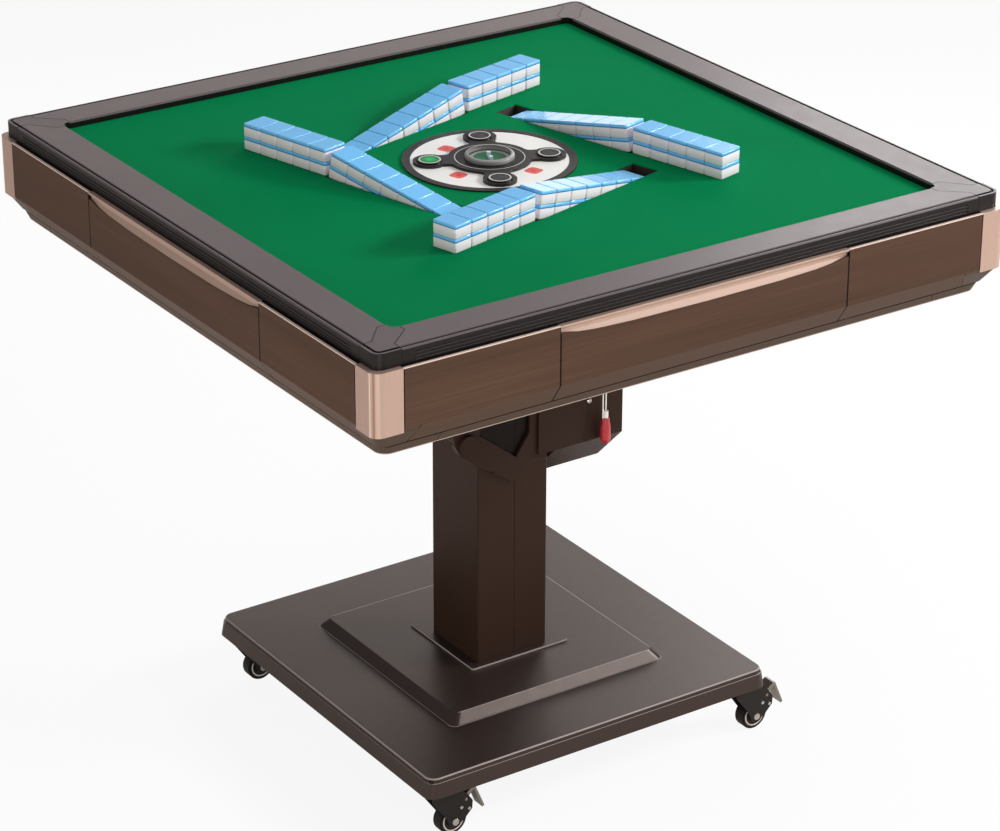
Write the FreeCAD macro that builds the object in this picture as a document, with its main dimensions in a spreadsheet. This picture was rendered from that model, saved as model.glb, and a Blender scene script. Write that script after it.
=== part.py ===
import FreeCAD, Part
import math
import os
import re
import Sketcher

# Automatic mahjong table: a square machine top with a drawer in each side, on one folding column.
# Millimetres, +Z up, origin on the floor under the middle of the table, front towards -Y.

V = FreeCAD.Vector
UP = V(0, 0, 1)
SIDES = 4
TILE_LAYERS, LEVEL_STACKS, RAMP_STACKS = 2, 5, 7
RAIL_BANDS = 3

SIZES = {
    # top frame, board and felt
    "rim_top": 780.0, "rim_half": 443.0, "rail_wide": 54.0, "rail_ledge": 10.0, "rim_tall": 20.0,
    "rail_drop": 8.0, "lip_drop": 0.5, "lip_wide": 3.2, "lip_edge": 1.5, "lip_groove": 3.2,
    "lip_groove_deep": 2.3, "rim_edge": 1.0, "rim_inner_edge": 2.0, "band_groove": 1.6,
    "band_pitch": 4.2, "band_start": 2.6, "band_end": 51.0, "rail_step": 6.0, "seam_start": 10.0,
    "seam_end": 34.0, "seam_near": 12.0, "seam_side": 16.0, "seam_gap": 0.4, "rim_corner": 12.0,
    "felt_corner": 7.0, "felt_drop": 8.5, "felt_thick": 1.5, "board_thick": 12.0, "board_gap": 0.5,
    # outer body
    "body_out": 7.0, "panel_face": 73.0, "panel_skirt": 24.0, "panel_thick": 10.0, "panel_bevel": 16.0,
    "post_wide": 38.0, "post_drop": 4.0, "post_corner": 13.0, "foot_seam_in": 60.0,
    "foot_seam_lean": 9.5, "foot_seam_gap": 0.5, "panel_gap": 0.4, "top_gap": 0.2, "tray_tall": 13.0,
    "tray_inset": 22.0, "tray_flare": 5.0, "tray_wall": 5.0, "tray_floor": 3.0, "tray_shelf": 108.0,
    "tray_corner": 16.0, "tray_seam_in": 76.5, "tray_seam_lean": 5.5, "tray_seam_wide": 0.8,
    "tray_seam_deep": 2.5, "tray_groove": 1.6, "tray_groove_deep": 2.5, "seat_gap": 0.3,
    # machine pan under the body
    "pan_lip": 10.0, "pan_wall": 3.0, "pan_deep": 145.0, "pan_foot_half": 130.0,
    # drawers
    "drawer_half": 205.0, "drawer_gap": 0.4, "drawer_lift": 9.0, "drawer_wall": 3.0,
    "drawer_room": 10.0, "drawer_inset": 10.0, "drawer_deep": 122.0, "runner_wide": 8.0,
    "runner_inset": 14.0, "pull_deep": 6.0, "pull_end": 9.0, "pull_middle": 17.0, "pull_lip": 2.6,
    "pull_scoop": 3.6, "pull_fit": 0.05,
    # tile lanes, ramps and tiles
    "lane_turn": 14.5, "lane_out": 156.5, "tile_wide": 28.05, "tile_long": 36.0, "tile_thick": 17.15,
    "tile_gap": 0.3, "tile_lift": 0.05, "tile_corner": 1.4, "hinge_down": 110.5, "hinge_deep": 5.0,
    "ramp_tilt": 10.6, "ramp_long": 215.0, "ramp_thick": 3.0, "ramp_nose": 1.7, "ramp_pin": 2.0,
    "ramp_side": 17.9, "knuckle_wide": 4.2, "knuckle_deep": 7.0, "slot_room": 1.9, "slot_end": 2.5,
    "slot_over": 8.5, "flat_gap": 0.3, "ear_gap": 0.3, "ear_thick": 1.3, "ear_wide": 6.5,
    "trough_wall": 2.0, "trough_deep": 64.0, "trough_rest": 12.0,
    # centre console
    "ring_out": 109.0, "ring_in": 99.0, "ring_tall": 2.0, "sleeve_wall": 1.4, "sleeve_deep": 38.0,
    "hole_gap": 0.4, "drum_gap": 0.4, "drum_deep": 64.0, "drum_wall": 3.0, "deck_lift": 1.5,
    "deck_thick": 8.0, "hub_round": 52.0, "hub_tall": 3.6, "arm_turn": 66.0, "arm_out": 75.0,
    "arm_half": 16.0, "arm_end": 21.0, "arm_blend": 7.0, "dice_well": 27.0, "dice_plate_gap": 0.8,
    "dice_plate_thick": 1.0, "dice_side": 5.0, "dice_out": 8.0, "well_deep": 2.4, "button_round": 16.0,
    "button_gap": 0.35, "button_deep": 5.0, "button_proud": 1.4, "button_room": 2.4, "dome_round": 31.0,
    "dome_wall": 1.6, "dome_tall": 5.6, "dome_edge": 3.0,
    # shuffling drive
    "motor_round": 45.0, "motor_tall": 95.0, "shaft_round": 9.0, "shaft_over": 13.0, "spin_fit": 0.05,
    "disc_round": 190.0, "disc_up": 36.0, "disc_thick": 5.0, "disc_hub": 26.0, "disc_hub_tall": 14.0,
    "paddle_tall": 8.0, "paddle_in": 60.0, "paddle_end": 14.0, "paddle_half": 6.0,
    # base
    "base_half": 262.0, "base_foot": 70.0, "base_skirt": 20.0, "base_tall": 26.4, "base_step": 4.0,
    "base_flare": 2.4, "base_corner": 14.0, "base_edge": 2.2, "cover_wall": 2.6, "rise_half": 164.5,
    "rise_slope": 10.3, "rise_tall": 12.6, "rise_corner": 13.0, "plate_thick": 10.0, "plate_gap": 1.2,
    "boss_half": 70.0, "flange_half": 75.0, "flange_thick": 3.0, "flange_corner": 4.0,
    # column and its head
    "col_left": -61.0, "col_right": 45.5, "col_front": -65.6, "col_back": 41.3, "col_wall": 2.6,
    "col_seam": -5.0, "col_seam_gap": 0.6, "col_over": 19.0, "col_corner": 2.4, "pivot_out": 24.0,
    "pivot_drop": 69.0, "pivot_pin": 8.0, "pin_fit": 0.05, "pin_head": 13.0, "pin_head_tall": 5.0,
    "cheek_thick": 5.0, "ear_reach": 17.0, "notch_in": 27.5, "notch_deep": 41.0, "notch_low_x": -6.0,
    "prong_in": 19.5, "prong_wide": 11.4, "prong_drop": 52.0, "notch_right_drop": 11.0, "tip_x": -10.8,
    "tip_drop": 75.0, "arm_thick": 6.0, "arm_gap": 0.6, "arm_wide": 30.0, "frame_thick": 6.0,
    "frame_over": 33.0, "frame_side": 12.0, "housing_gap": 4.5, "housing_long": 106.2,
    "housing_tall": 167.0, "housing_bevel": 53.0, "housing_wall": 3.0, "housing_lap": 24.0,
    "lug_drop": 35.0, "lug_thick": 4.0, "lug_over": 8.0, "lug_half": 12.0,
    # release grip on its wires
    "grip_in": 33.5, "grip_out": 10.0, "grip_drop": 116.3, "grip_round": 6.6, "grip_neck": 4.6,
    "grip_end": 5.0, "grip_body": 20.0, "grip_tall": 34.0, "grip_foot": 4.0, "ferrule_round": 3.4,
    "ferrule_tall": 10.0, "wire_round": 1.0, "wire_aside": 4.5, "wire_over": 21.0, "bead_tall": 4.0,
    "bead_half": 6.0, "bead_left": 9.0,
    # casters
    "caster_inset": 26.0, "caster_block": 10.5, "king_round": 5.0, "king_long": 12.0,
    "wheel_trail": 20.0, "wheel_round": 20.0, "wheel_half": 10.0, "tread_half": 7.0,
    "wheel_flank": 17.6, "wheel_hub": 8.0, "hub_half": 9.6, "axle_round": 3.0, "axle_head": 4.6,
    "axle_head_tall": 1.6, "fork_in": 10.5, "fork_thick": 2.4, "crown_drop": 9.0, "crown_gap": 0.8,
    "crown_back": 12.5, "crown_front": 22.0, "fork_waist_drop": 14.0, "fork_eye": 9.2,
    "rivet_round": 2.2, "rivet_tall": 1.2, "pedal_out": 16.5, "pedal_drop": 23.0, "pedal_pin": 2.0,
    "pedal_half": 9.0, "pedal_reach": 29.5, "pedal_boss": 3.6,
    # room past a face for every cut, and how near counts as touching when edges are picked
    "overrun": 2.0, "nearness": 0.001,
}

# Places and sizes that follow from those, each as a sum of named sizes.
SUMS = {
    "body_half": "rim_half + body_out", "band_half": "rim_half - band_end",
    "seam_in": "rim_half - rail_wide - seam_start", "seam_out": "rim_half - seam_end",
    "seam_far": "rail_wide - seam_side", "panel_top": "rim_top - rim_tall",
    "rail_low": "panel_top - rail_drop", "panel_kink": "panel_top - panel_face",
    "panel_foot": "panel_kink - panel_skirt", "post_foot": "panel_kink - post_drop",
    "foot_seam_top": "body_half - foot_seam_in", "foot_seam_low": "foot_seam_top + foot_seam_lean",
    "tray_foot": "panel_foot - tray_tall", "tray_half": "body_half - tray_inset",
    "tray_mouth": "tray_half - tray_shelf", "tray_seam_top": "tray_half - tray_seam_in",
    "tray_seam_low": "tray_seam_top + tray_seam_lean", "pan_foot": "tray_foot - pan_deep",
    "drawer_foot": "panel_foot + drawer_lift", "drawer_tall": "rail_low - drawer_room - drawer_foot",
    "slot_side": "ramp_side + slot_room", "slot_down": "hinge_down + slot_end",
    "slot_up": "ramp_long - hinge_down + slot_over", "flat_start": "slot_down + flat_gap",
    "ear_in": "ramp_side + ear_gap", "trough_low": "rim_top - trough_deep",
    "sleeve_low": "rim_top - sleeve_deep", "board_hole": "ring_in + sleeve_wall + hole_gap",
    "drum_round": "ring_in - drum_gap", "drum_low": "rim_top - drum_deep",
    "dice_plate_round": "dice_well - dice_plate_gap", "disc_low": "tray_foot + disc_up",
    "shaft_top": "disc_low + disc_thick + shaft_over", "disc_hub_low": "disc_low - disc_hub_tall",
    "paddle_out": "disc_round - paddle_end", "base_ledge": "base_foot + base_skirt",
    "base_top": "base_foot + base_tall", "rise_top": "base_top + rise_tall",
    "rise_top_half": "rise_half - rise_slope", "pivot_x": "col_left - pivot_out",
    "pivot_z": "pan_foot - pivot_drop", "col_top": "pivot_z + col_over",
    "notch_left": "pivot_x + notch_in", "notch_low": "pivot_z - notch_deep",
    "notch_right_z": "pivot_z - notch_right_drop", "prong_right": "col_right - prong_in",
    "prong_left": "prong_right - prong_wide", "prong_foot": "pivot_z - prong_drop",
    "tip_z": "pivot_z - tip_drop", "frame_left": "pivot_x - frame_over",
    "housing_left": "col_right + housing_gap", "frame_right": "housing_left + housing_long",
    "housing_foot": "pan_foot - housing_tall", "lug_z": "pan_foot - lug_drop",
    "lug_out": "grip_out + lug_over", "grip_x": "frame_right - grip_in",
    "grip_low": "pan_foot - grip_drop", "grip_shoulder": "grip_low + grip_body",
    "grip_top": "grip_low + grip_tall", "wire_top": "lug_z + wire_over",
    "caster_out": "base_half - caster_inset", "king_low": "base_foot - king_long",
    "crown_low": "base_foot - crown_drop", "fork_waist": "base_foot - fork_waist_drop",
    "pedal_x": "wheel_trail + pedal_out", "pedal_z": "base_foot - pedal_drop",
}

doc = FreeCAD.newDocument("mahjong_table")
sheet = doc.addObject("Spreadsheet::Sheet", "Sizes")
for row, (name, value) in enumerate(SIZES.items(), 1):
    sheet.set(f"A{row}", name)
    sheet.set(f"B{row}", str(value))
    sheet.setAlias(f"B{row}", name)
doc.recompute()

nodes = []
WORD = re.compile(r"[a-z_]\w*")


def spelled(text):
    """The same sum with every name that follows from others written out in sizes."""
    return WORD.sub(lambda word: f"({spelled(SUMS[word[0]])})" if word[0] in SUMS else word[0], text)


def on_sheet(text):
    """The same sum with each size written as its cell on the sheet."""
    return WORD.sub(lambda word: "Sizes." + word[0] if word[0] in SIZES else word[0], spelled(text))


def num(text):
    """What a sum of sizes comes to now."""
    return float(sheet.evalExpression(spelled(text)))


def new_body(label):
    body = doc.addObject("PartDesign::Body", label)
    body.Label = label
    nodes.append(body)
    return body


def origin(body, role):
    return next(feature for feature in body.Origin.OriginFeatures if feature.Role == role)


def sketch(body, lift="0", role="XY_Plane", turn="0"):
    """An empty sketch on a plane of the body, lifted along that plane's normal and turned about it."""
    made = body.newObject("Sketcher::SketchObject", "Sketch")
    made.AttachmentSupport = [(origin(body, role), "")]
    made.MapMode = "FlatFace"
    made.AttachmentOffset = FreeCAD.Placement(V(0, 0, num(lift)), FreeCAD.Rotation(UP, num(turn)))
    made.setExpression("AttachmentOffset.Base.z", on_sheet(lift))
    return made


def hold(made, index, place, across, up):
    """Ties one point of a sketch to two sums of sizes."""
    for kind, text in (("DistanceX", across), ("DistanceY", up)):
        number = made.addConstraint(Sketcher.Constraint(kind, -1, 1, index, place, num(text)))
        made.setExpression(f"Constraints[{number}]", on_sheet(text))


def loop(made, points):
    """A closed outline of straight sides."""
    first = made.GeometryCount
    corners = [V(num(across), num(up), 0) for across, up in points]
    count = len(corners)
    for index, corner in enumerate(corners):
        made.addGeometry(Part.LineSegment(corner, corners[(index + 1) % count]))
    for index in range(count):
        follower = first + (index + 1) % count
        made.addConstraint(Sketcher.Constraint("Coincident", first + index, 2, follower, 1))
    for index, (across, up) in enumerate(points):
        hold(made, first + index, 1, across, up)
    return made


def ring(made, radius, across="0", up="0"):
    """A circle."""
    centre = V(num(across), num(up), 0)
    index = made.addGeometry(Part.Circle(centre, UP, num(radius)))
    hold(made, index, 3, across, up)
    number = made.addConstraint(Sketcher.Constraint("Radius", index, num(radius)))
    made.setExpression(f"Constraints[{number}]", on_sheet(radius))
    return made


def pad(body, made, length, both=False):
    feature = body.newObject("PartDesign::Pad", "Pad")
    feature.Profile = made
    feature.setExpression("Length", on_sheet(length))
    if both:
        feature.SideType = "Symmetric"
    doc.recompute()
    return feature


def pocket(body, made, depth, both=False):
    """A cut against the sketch's normal, or to both sides of it; it has to take material away."""
    before = body.Shape.Volume
    feature = body.newObject("PartDesign::Pocket", "Pocket")
    feature.Profile = made
    feature.setExpression("Length", on_sheet(depth))
    if both:
        feature.SideType = "Symmetric"
    doc.recompute()
    if body.Shape.Volume >= before:
        raise RuntimeError(f"a cut in {body.Label} takes nothing away")
    return feature


def loft(body, lower, upper, cutting=False):
    kind = "PartDesign::SubtractiveLoft" if cutting else "PartDesign::AdditiveLoft"
    feature = body.newObject(kind, "Loft")
    feature.Profile = lower
    feature.Sections = [upper]
    feature.Ruled = True
    doc.recompute()
    return feature


def wedge(body, low, high, lower, upper, cutting=False):
    """A block that tapers between two heights; each end is left, right, front and back."""
    kind = "PartDesign::SubtractiveWedge" if cutting else "PartDesign::AdditiveWedge"
    feature = body.newObject(kind, "Wedge")
    feature.AttachmentSupport = [(origin(body, "XY_Plane"), "")]
    feature.MapMode = "FlatFace"
    feature.AttachmentOffset = FreeCAD.Placement(V(0, 0, 0), FreeCAD.Rotation(V(1, 0, 0), 90))
    ends = {"Ymin": low, "Ymax": high}
    for name, end in (("", lower), ("2", upper)):
        left, right, front, back = end
        ends.update({f"X{name}min": left, f"X{name}max": right})
        ends.update({f"Z{name}min": f"-({back})", f"Z{name}max": f"-({front})"})
    for name in ("Xmax", "X2max", "Ymax", "Zmax", "Z2max", "Xmin", "X2min", "Ymin", "Zmin", "Z2min"):
        setattr(feature, name, num(ends[name]))
        feature.setExpression(name, on_sheet(ends[name]))
    doc.recompute()
    return feature


def even(half):
    """The four sides of a square about the middle, for the end of a wedge."""
    return (f"-({half})", half, f"-({half})", half)


def soften(body, kind, size, wanted):
    """Rounds or chamfers the edges of the tip that the test wants."""
    tip = body.Tip
    names = [f"Edge{index}" for index, edge in enumerate(tip.Shape.Edges, 1) if wanted(edge)]
    feature = body.newObject("PartDesign::" + kind, kind)
    feature.Base = (tip, names)
    feature.setExpression("Radius" if kind == "Fillet" else "Size", on_sheet(size))
    doc.recompute()
    return feature


def around(body, features=None):
    """The same features, or the whole body as it stands, on each of the four sides."""
    feature = body.newObject("PartDesign::PolarPattern", "Around")
    if features:
        feature.Originals = features
    else:
        feature.TransformMode = "Whole shape"
    feature.Axis = (origin(body, "Z_Axis"), [""])
    feature.Angle = 360
    feature.Occurrences = SIDES
    body.Tip = feature
    doc.recompute()
    return feature


def square(half):
    return [(f"-({half})", f"-({half})"), (half, f"-({half})"), (half, half), (f"-({half})", half)]


def box_points(left, right, low, high):
    return [(left, low), (right, low), (right, high), (left, high)]


def slab(body, low, high, points, turn="0"):
    """A flat-bottomed prism from one height to another."""
    return pad(body, loop(sketch(body, low, turn=turn), points), f"({high}) - ({low})")


def dig(body, low, high, points, turn="0"):
    """A prism cut out from one height down to another."""
    return pocket(body, loop(sketch(body, high, turn=turn), points), f"({high}) - ({low})")


def post(body, low, high, radius, across="0", up="0", turn="0"):
    return pad(body, ring(sketch(body, low, turn=turn), radius, across, up), f"({high}) - ({low})")


def drill(body, low, high, radius, across="0", up="0", turn="0"):
    return pocket(body, ring(sketch(body, high, turn=turn), radius, across, up), f"({high}) - ({low})")


def upright(edge, reach):
    """An edge that climbs, with its middle out past reach from both of the table's middle planes."""
    first, last = edge.Vertexes[0].Point, edge.Vertexes[-1].Point
    middle = (first + last) * 0.5
    climbs = abs(first.z - last.z) > (first - last).Length * 0.5
    return climbs and min(abs(middle.x), abs(middle.y)) > reach


def at_corner(edge, half):
    """A plumb edge that stands on the diagonal, half out from both middle planes."""
    box = edge.BoundBox
    return box.ZLength > 0 and all(abs(abs(place) - half) < num("nearness") for place in
                                   (box.XMin, box.XMax, box.YMin, box.YMax))


def at_height(edge, height):
    """An edge that lies level at a height."""
    return edge.BoundBox.ZLength < num("nearness") and abs(edge.BoundBox.ZMax - num(height)) < num("nearness")


def inner_corner(edge):
    """A plumb edge of the hub where an arm runs into its round."""
    out = math.hypot(edge.CenterOfMass.x, edge.CenterOfMass.y)
    return edge.BoundBox.ZLength > 0 and abs(out - num("hub_round")) < num("nearness")


def lane_place(side, tilted=False):
    """Where lane number side lies: turned about the table, and tilted about its hinge if asked."""
    turn = FreeCAD.Rotation(UP, num("lane_turn") + side * 360.0 / SIDES)
    place = FreeCAD.Placement(V(0, 0, 0), turn)
    if tilted:
        hinge = V(-num("hinge_down"), 0, num(FELT_TOP) - num("hinge_deep"))
        tilt = FreeCAD.Rotation(V(0, 1, 0), num("ramp_tilt"))
        place = place.multiply(FreeCAD.Placement(V(0, 0, 0), tilt, hinge))
    return place


def side_place(side):
    return FreeCAD.Placement(V(0, 0, 0), FreeCAD.Rotation(UP, side * 360.0 / SIDES))


FELT_TOP = "(rim_top - felt_drop)"
BOARD_TOP = f"({FELT_TOP} - felt_thick)"
BOARD_LOW = f"({BOARD_TOP} - board_thick)"
RIM_IN = "(rim_half - rail_wide)"
RAIL_OUT = "(rim_half - rail_step)"
RAIL_FOOT = "(panel_top + top_gap)"
LIP_TOP = "(rim_top - lip_drop)"
LIP_IN = "(rim_half - lip_wide)"
GROOVE_IN = "(rim_half - lip_wide - lip_groove)"
GROOVE_LOW = "(rim_top - lip_groove_deep)"


def base_cover():
    body = new_body("base_cover")
    wedge(body, "base_foot", "base_ledge", even("base_half"), even("base_half - base_flare"))
    slab(body, "base_ledge", "base_top", square("base_half - base_step"))
    wedge(body, "base_top", "rise_top", even("rise_half"), even("rise_top_half"))
    between = num("(rise_half + base_half) / 2")
    soften(body, "Fillet", "base_corner", lambda edge: upright(edge, between))
    soften(body, "Fillet", "rise_corner",
           lambda edge: upright(edge, num("flange_half")) and not upright(edge, between))
    soften(body, "Fillet", "base_edge", lambda edge: at_height(edge, "base_top")
           and math.hypot(edge.CenterOfMass.x, edge.CenterOfMass.y) > between)
    inner = "base_half - base_step - cover_wall"
    dig(body, "base_foot - overrun", "base_top - cover_wall", square(inner))
    dig(body, "base_foot - overrun", "rise_top - cover_wall", square("rise_top_half - cover_wall"))


def base_plate():
    body = new_body("base_plate")
    top = "base_top - cover_wall"
    slab(body, f"{top} - plate_thick", top, square("base_half - base_step - cover_wall - plate_gap"))
    slab(body, top, "rise_top - cover_wall", square("boss_half"))


def caster_plates():
    body = new_body("caster_plates")
    top = "base_top - cover_wall - plate_thick"
    spot = box_points("caster_out - caster_block", "caster_out + caster_block",
                      "caster_out - caster_block", "caster_out + caster_block")
    block = slab(body, "base_foot", top, spot)
    king = post(body, "king_low", "base_foot", "king_round", "caster_out", "caster_out")
    around(body, [block, king])


# Outlines on a caster's cheek and pedal, as shares of the wheel's radius from its axle and of the pedal's
# reach from its pin.
CHEEK_SHARES = ((-0.6, 0.35), (-0.42, -0.2), (0.42, -0.2), (0.8, 0.1), (1.26, 0.58), (1.3, 1.15),
                (0.9, 1.72))
RIVET_SHARES = ((0.45, 0.9), (1.02, 0.66))
PEDAL_SHARES = ((-0.05, 0.11), (0.42, 0.44), (0.54, 0.42), (1.0, -0.68), (0.89, -0.73), (0.475, 0.29),
                (0.05, -0.11))


def by_axle(shares):
    return [(f"wheel_trail + wheel_round * {across}", f"wheel_round + wheel_round * {up}")
            for across, up in shares]


def caster_fork(side):
    body = new_body(f"caster_fork_{side + 1}")
    out = "fork_in + fork_thick"
    crown_top = "base_foot - crown_gap"
    slab(body, "crown_low", crown_top, box_points("-crown_back", "crown_front", f"-({out})", out))
    cheek = [("-crown_back", crown_top), ("-crown_back", "fork_waist")] + by_axle(CHEEK_SHARES)
    cheek.append(("crown_front", crown_top))
    for start in ("fork_in", f"-({out})"):
        pad(body, loop(sketch(body, start, "XZ_Plane"), cheek), "fork_thick")
        eye = ring(sketch(body, start, "XZ_Plane"), "fork_eye", "wheel_trail", "wheel_round")
        pad(body, eye, "fork_thick")
    axle = ring(sketch(body, "0", "XZ_Plane"), "axle_round", "wheel_trail", "wheel_round")
    pad(body, axle, f"2 * ({out})", both=True)
    heads = [("axle_head", "axle_head_tall", "wheel_trail", "wheel_round")]
    heads += [("rivet_round", "rivet_tall", across, up) for across, up in by_axle(RIVET_SHARES)]
    for radius, tall, across, up in heads:
        for start in (out, f"-({out}) - {tall}"):
            pad(body, ring(sketch(body, start, "XZ_Plane"), radius, across, up), tall)
    drill(body, "crown_low - overrun", f"{crown_top} + overrun", "king_round + pin_fit")
    hole = ring(sketch(body, "0", "XZ_Plane"), "pedal_pin + pin_fit", "pedal_x", "pedal_z")
    pocket(body, hole, f"2 * ({out} + overrun)", both=True)
    return body


def caster_wheel(side):
    body = new_body(f"caster_wheel_{side + 1}")
    steps = (("wheel_round", "tread_half"), ("wheel_flank", "wheel_half - axle_head_tall"),
             ("wheel_hub", "hub_half"))
    for radius, half in steps:
        disc = ring(sketch(body, "0", "XZ_Plane"), radius, "wheel_trail", "wheel_round")
        pad(body, disc, f"2 * ({half})", both=True)
    bore = ring(sketch(body, "0", "XZ_Plane"), "axle_round + pin_fit", "wheel_trail", "wheel_round")
    pocket(body, bore, "2 * (wheel_half + overrun)", both=True)
    return body


def caster_pedal(side):
    body = new_body(f"caster_pedal_{side + 1}")
    boss = ring(sketch(body, "0", "XZ_Plane"), "pedal_boss", "pedal_x", "pedal_z")
    pad(body, boss, "2 * pedal_half", both=True)
    blade = [(f"pedal_x + pedal_reach * {across}", f"pedal_z + pedal_reach * {up}")
             for across, up in PEDAL_SHARES]
    pad(body, loop(sketch(body, "0", "XZ_Plane"), blade), "2 * pedal_half", both=True)
    pin = ring(sketch(body, "0", "XZ_Plane"), "pedal_pin", "pedal_x", "pedal_z")
    pad(body, pin, "2 * (fork_in + fork_thick)", both=True)
    return body


def casters():
    corners = ((-1, -1), (1, -1), (1, 1), (-1, 1))
    for side, (left, front) in enumerate(corners):
        spot = V(left * num("caster_out"), front * num("caster_out"), 0)
        place = FreeCAD.Placement(spot, FreeCAD.Rotation())
        for make in (caster_fork, caster_wheel, caster_pedal):
            make(side).Placement = place


def column():
    body = new_body("column_flange")
    slab(body, "rise_top", "rise_top + flange_thick", square("flange_half"))
    soften(body, "Fillet", "flange_corner", lambda edge: upright(edge, num("flange_half - flange_corner")))
    foot = "rise_top + flange_thick"
    halves = (("column_left_channel", "col_left", "col_seam - col_seam_gap / 2", "+"),
              ("column_right_channel", "col_right", "col_seam + col_seam_gap / 2", "-"))
    for label, outer, seam, inward in halves:
        body = new_body(label)
        inner = f"{outer} {inward} col_wall"
        slab(body, foot, "col_top", [(seam, "col_front"), (outer, "col_front"), (outer, "col_back"),
                                     (seam, "col_back"), (seam, "col_back - col_wall"),
                                     (inner, "col_back - col_wall"), (inner, "col_front + col_wall"),
                                     (seam, "col_front + col_wall")])
        place = num(outer)
        soften(body, "Fillet", "col_corner",
               lambda edge: upright(edge, 0) and abs(edge.BoundBox.XMin - place) < num("nearness"))


# Points round the pivot, as shares of the ears' reach from it.
EAR_SHARES = ((-0.6, -0.8), (-1.0, 0.0), (-0.7, 0.75), (0.0, 1.0))
ARM_SHARES = ((0.5, -0.8), (-0.6, -0.8), (-1.0, 0.0))


def by_pivot(shares):
    return [(f"pivot_x + ear_reach * {across}", f"pivot_z + ear_reach * {up}") for across, up in shares]


FRAME_TOP = "pan_foot"
FRAME_LOW = "(pan_foot - frame_thick)"
HOUSING_FRONT = "(col_front - cheek_thick - arm_gap - housing_wall)"
HOUSING_BACK = "(col_back + cheek_thick + arm_gap + housing_wall)"
GRIP_Y = f"({HOUSING_FRONT} - grip_out)"


def head_cheeks():
    body = new_body("head_cheeks")
    prong_top = f"{FRAME_LOW} - seat_gap"
    cheek = by_pivot(EAR_SHARES)
    cheek += [("notch_left", "pivot_z"), ("notch_low_x", "notch_low"), ("prong_left", "notch_right_z"),
              ("prong_left", prong_top), ("prong_right", prong_top), ("prong_right", "prong_foot"),
              ("tip_x", "tip_z"), ("col_left", "notch_low")]
    for start in ("-col_front", "-col_back - cheek_thick"):
        plate = loop(sketch(body, start, "XZ_Plane"), cheek)
        ring(plate, "pivot_pin + pin_fit", "pivot_x", "pivot_z")
        pad(body, plate, "cheek_thick")


def pivot_pin():
    body = new_body("pivot_pin")
    front = "-col_front + cheek_thick + arm_gap + arm_thick + arm_gap"
    back = "col_back + cheek_thick + arm_gap + arm_thick + arm_gap"
    rod = ring(sketch(body, f"-({back})", "XZ_Plane"), "pivot_pin", "pivot_x", "pivot_z")
    pad(body, rod, f"({front}) + ({back})")
    for start in (front, f"-({back}) - pin_head_tall"):
        head = ring(sketch(body, start, "XZ_Plane"), "pin_head", "pivot_x", "pivot_z")
        pad(body, head, "pin_head_tall")


def tilt_frame():
    body = new_body("tilt_frame")
    front = "col_front - frame_side"
    back = "col_back + frame_side"
    slab(body, FRAME_LOW, FRAME_TOP, box_points("frame_left", "frame_right", front, back))
    arm = by_pivot(ARM_SHARES)
    arm += [("frame_left", FRAME_LOW), ("pivot_x + arm_wide", FRAME_LOW), ("pivot_x + ear_reach", "pivot_z")]
    for start in ("-col_front + cheek_thick + arm_gap", "-col_back - cheek_thick - arm_gap - arm_thick"):
        plate = loop(sketch(body, start, "XZ_Plane"), arm)
        ring(plate, "pivot_pin + pin_fit", "pivot_x", "pivot_z")
        pad(body, plate, "arm_thick")
    side = box_points("housing_left", "frame_right", "housing_foot", FRAME_LOW)
    pad(body, loop(sketch(body, f"-{HOUSING_BACK}", "XZ_Plane"), side), f"{HOUSING_BACK} - {HOUSING_FRONT}")
    shoulder = "housing_foot + housing_bevel"
    for edge, inward in ((HOUSING_FRONT, "+"), (HOUSING_BACK, "-")):
        bevel = [(edge, "housing_foot"), (f"{edge} {inward} housing_bevel", "housing_foot"), (edge, shoulder)]
        pocket(body, loop(sketch(body, "frame_right + overrun", "YZ_Plane"), bevel),
               "frame_right - housing_left + overrun * 2")
    room = box_points(f"{HOUSING_FRONT} + housing_wall", f"{HOUSING_BACK} - housing_wall", shoulder,
                      f"{FRAME_LOW} - housing_wall")
    pocket(body, loop(sketch(body, "frame_right - housing_wall", "YZ_Plane"), room),
           "frame_right - housing_wall - housing_left")
    flap = box_points("housing_left - housing_lap", "housing_left + housing_wall", shoulder, FRAME_LOW)
    for start in (f"-({HOUSING_FRONT} + housing_wall)", f"-{HOUSING_BACK}"):
        pad(body, loop(sketch(body, start, "XZ_Plane"), flap), "housing_wall")
    slab(body, "lug_z", "lug_z + lug_thick",
         box_points("grip_x - lug_half", "grip_x + lug_half", f"{HOUSING_FRONT} - lug_out", HOUSING_FRONT))
    guide = "(wire_round + seat_gap)"
    slot = box_points(f"grip_x - wire_aside - {guide}", f"grip_x + {guide}", f"{GRIP_Y} - {guide}",
                      f"{GRIP_Y} + {guide}")
    dig(body, "lug_z - overrun", "lug_z + lug_thick + overrun", slot)


def machine_pan():
    body = new_body("machine_pan")
    mouth = "tray_mouth + pan_lip"
    wedge(body, "pan_foot", "tray_foot", even("pan_foot_half"), even(mouth))
    wedge(body, "pan_foot + pan_wall", "tray_foot", even("pan_foot_half - pan_wall"),
          even(f"{mouth} - pan_wall"), cutting=True)


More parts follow.
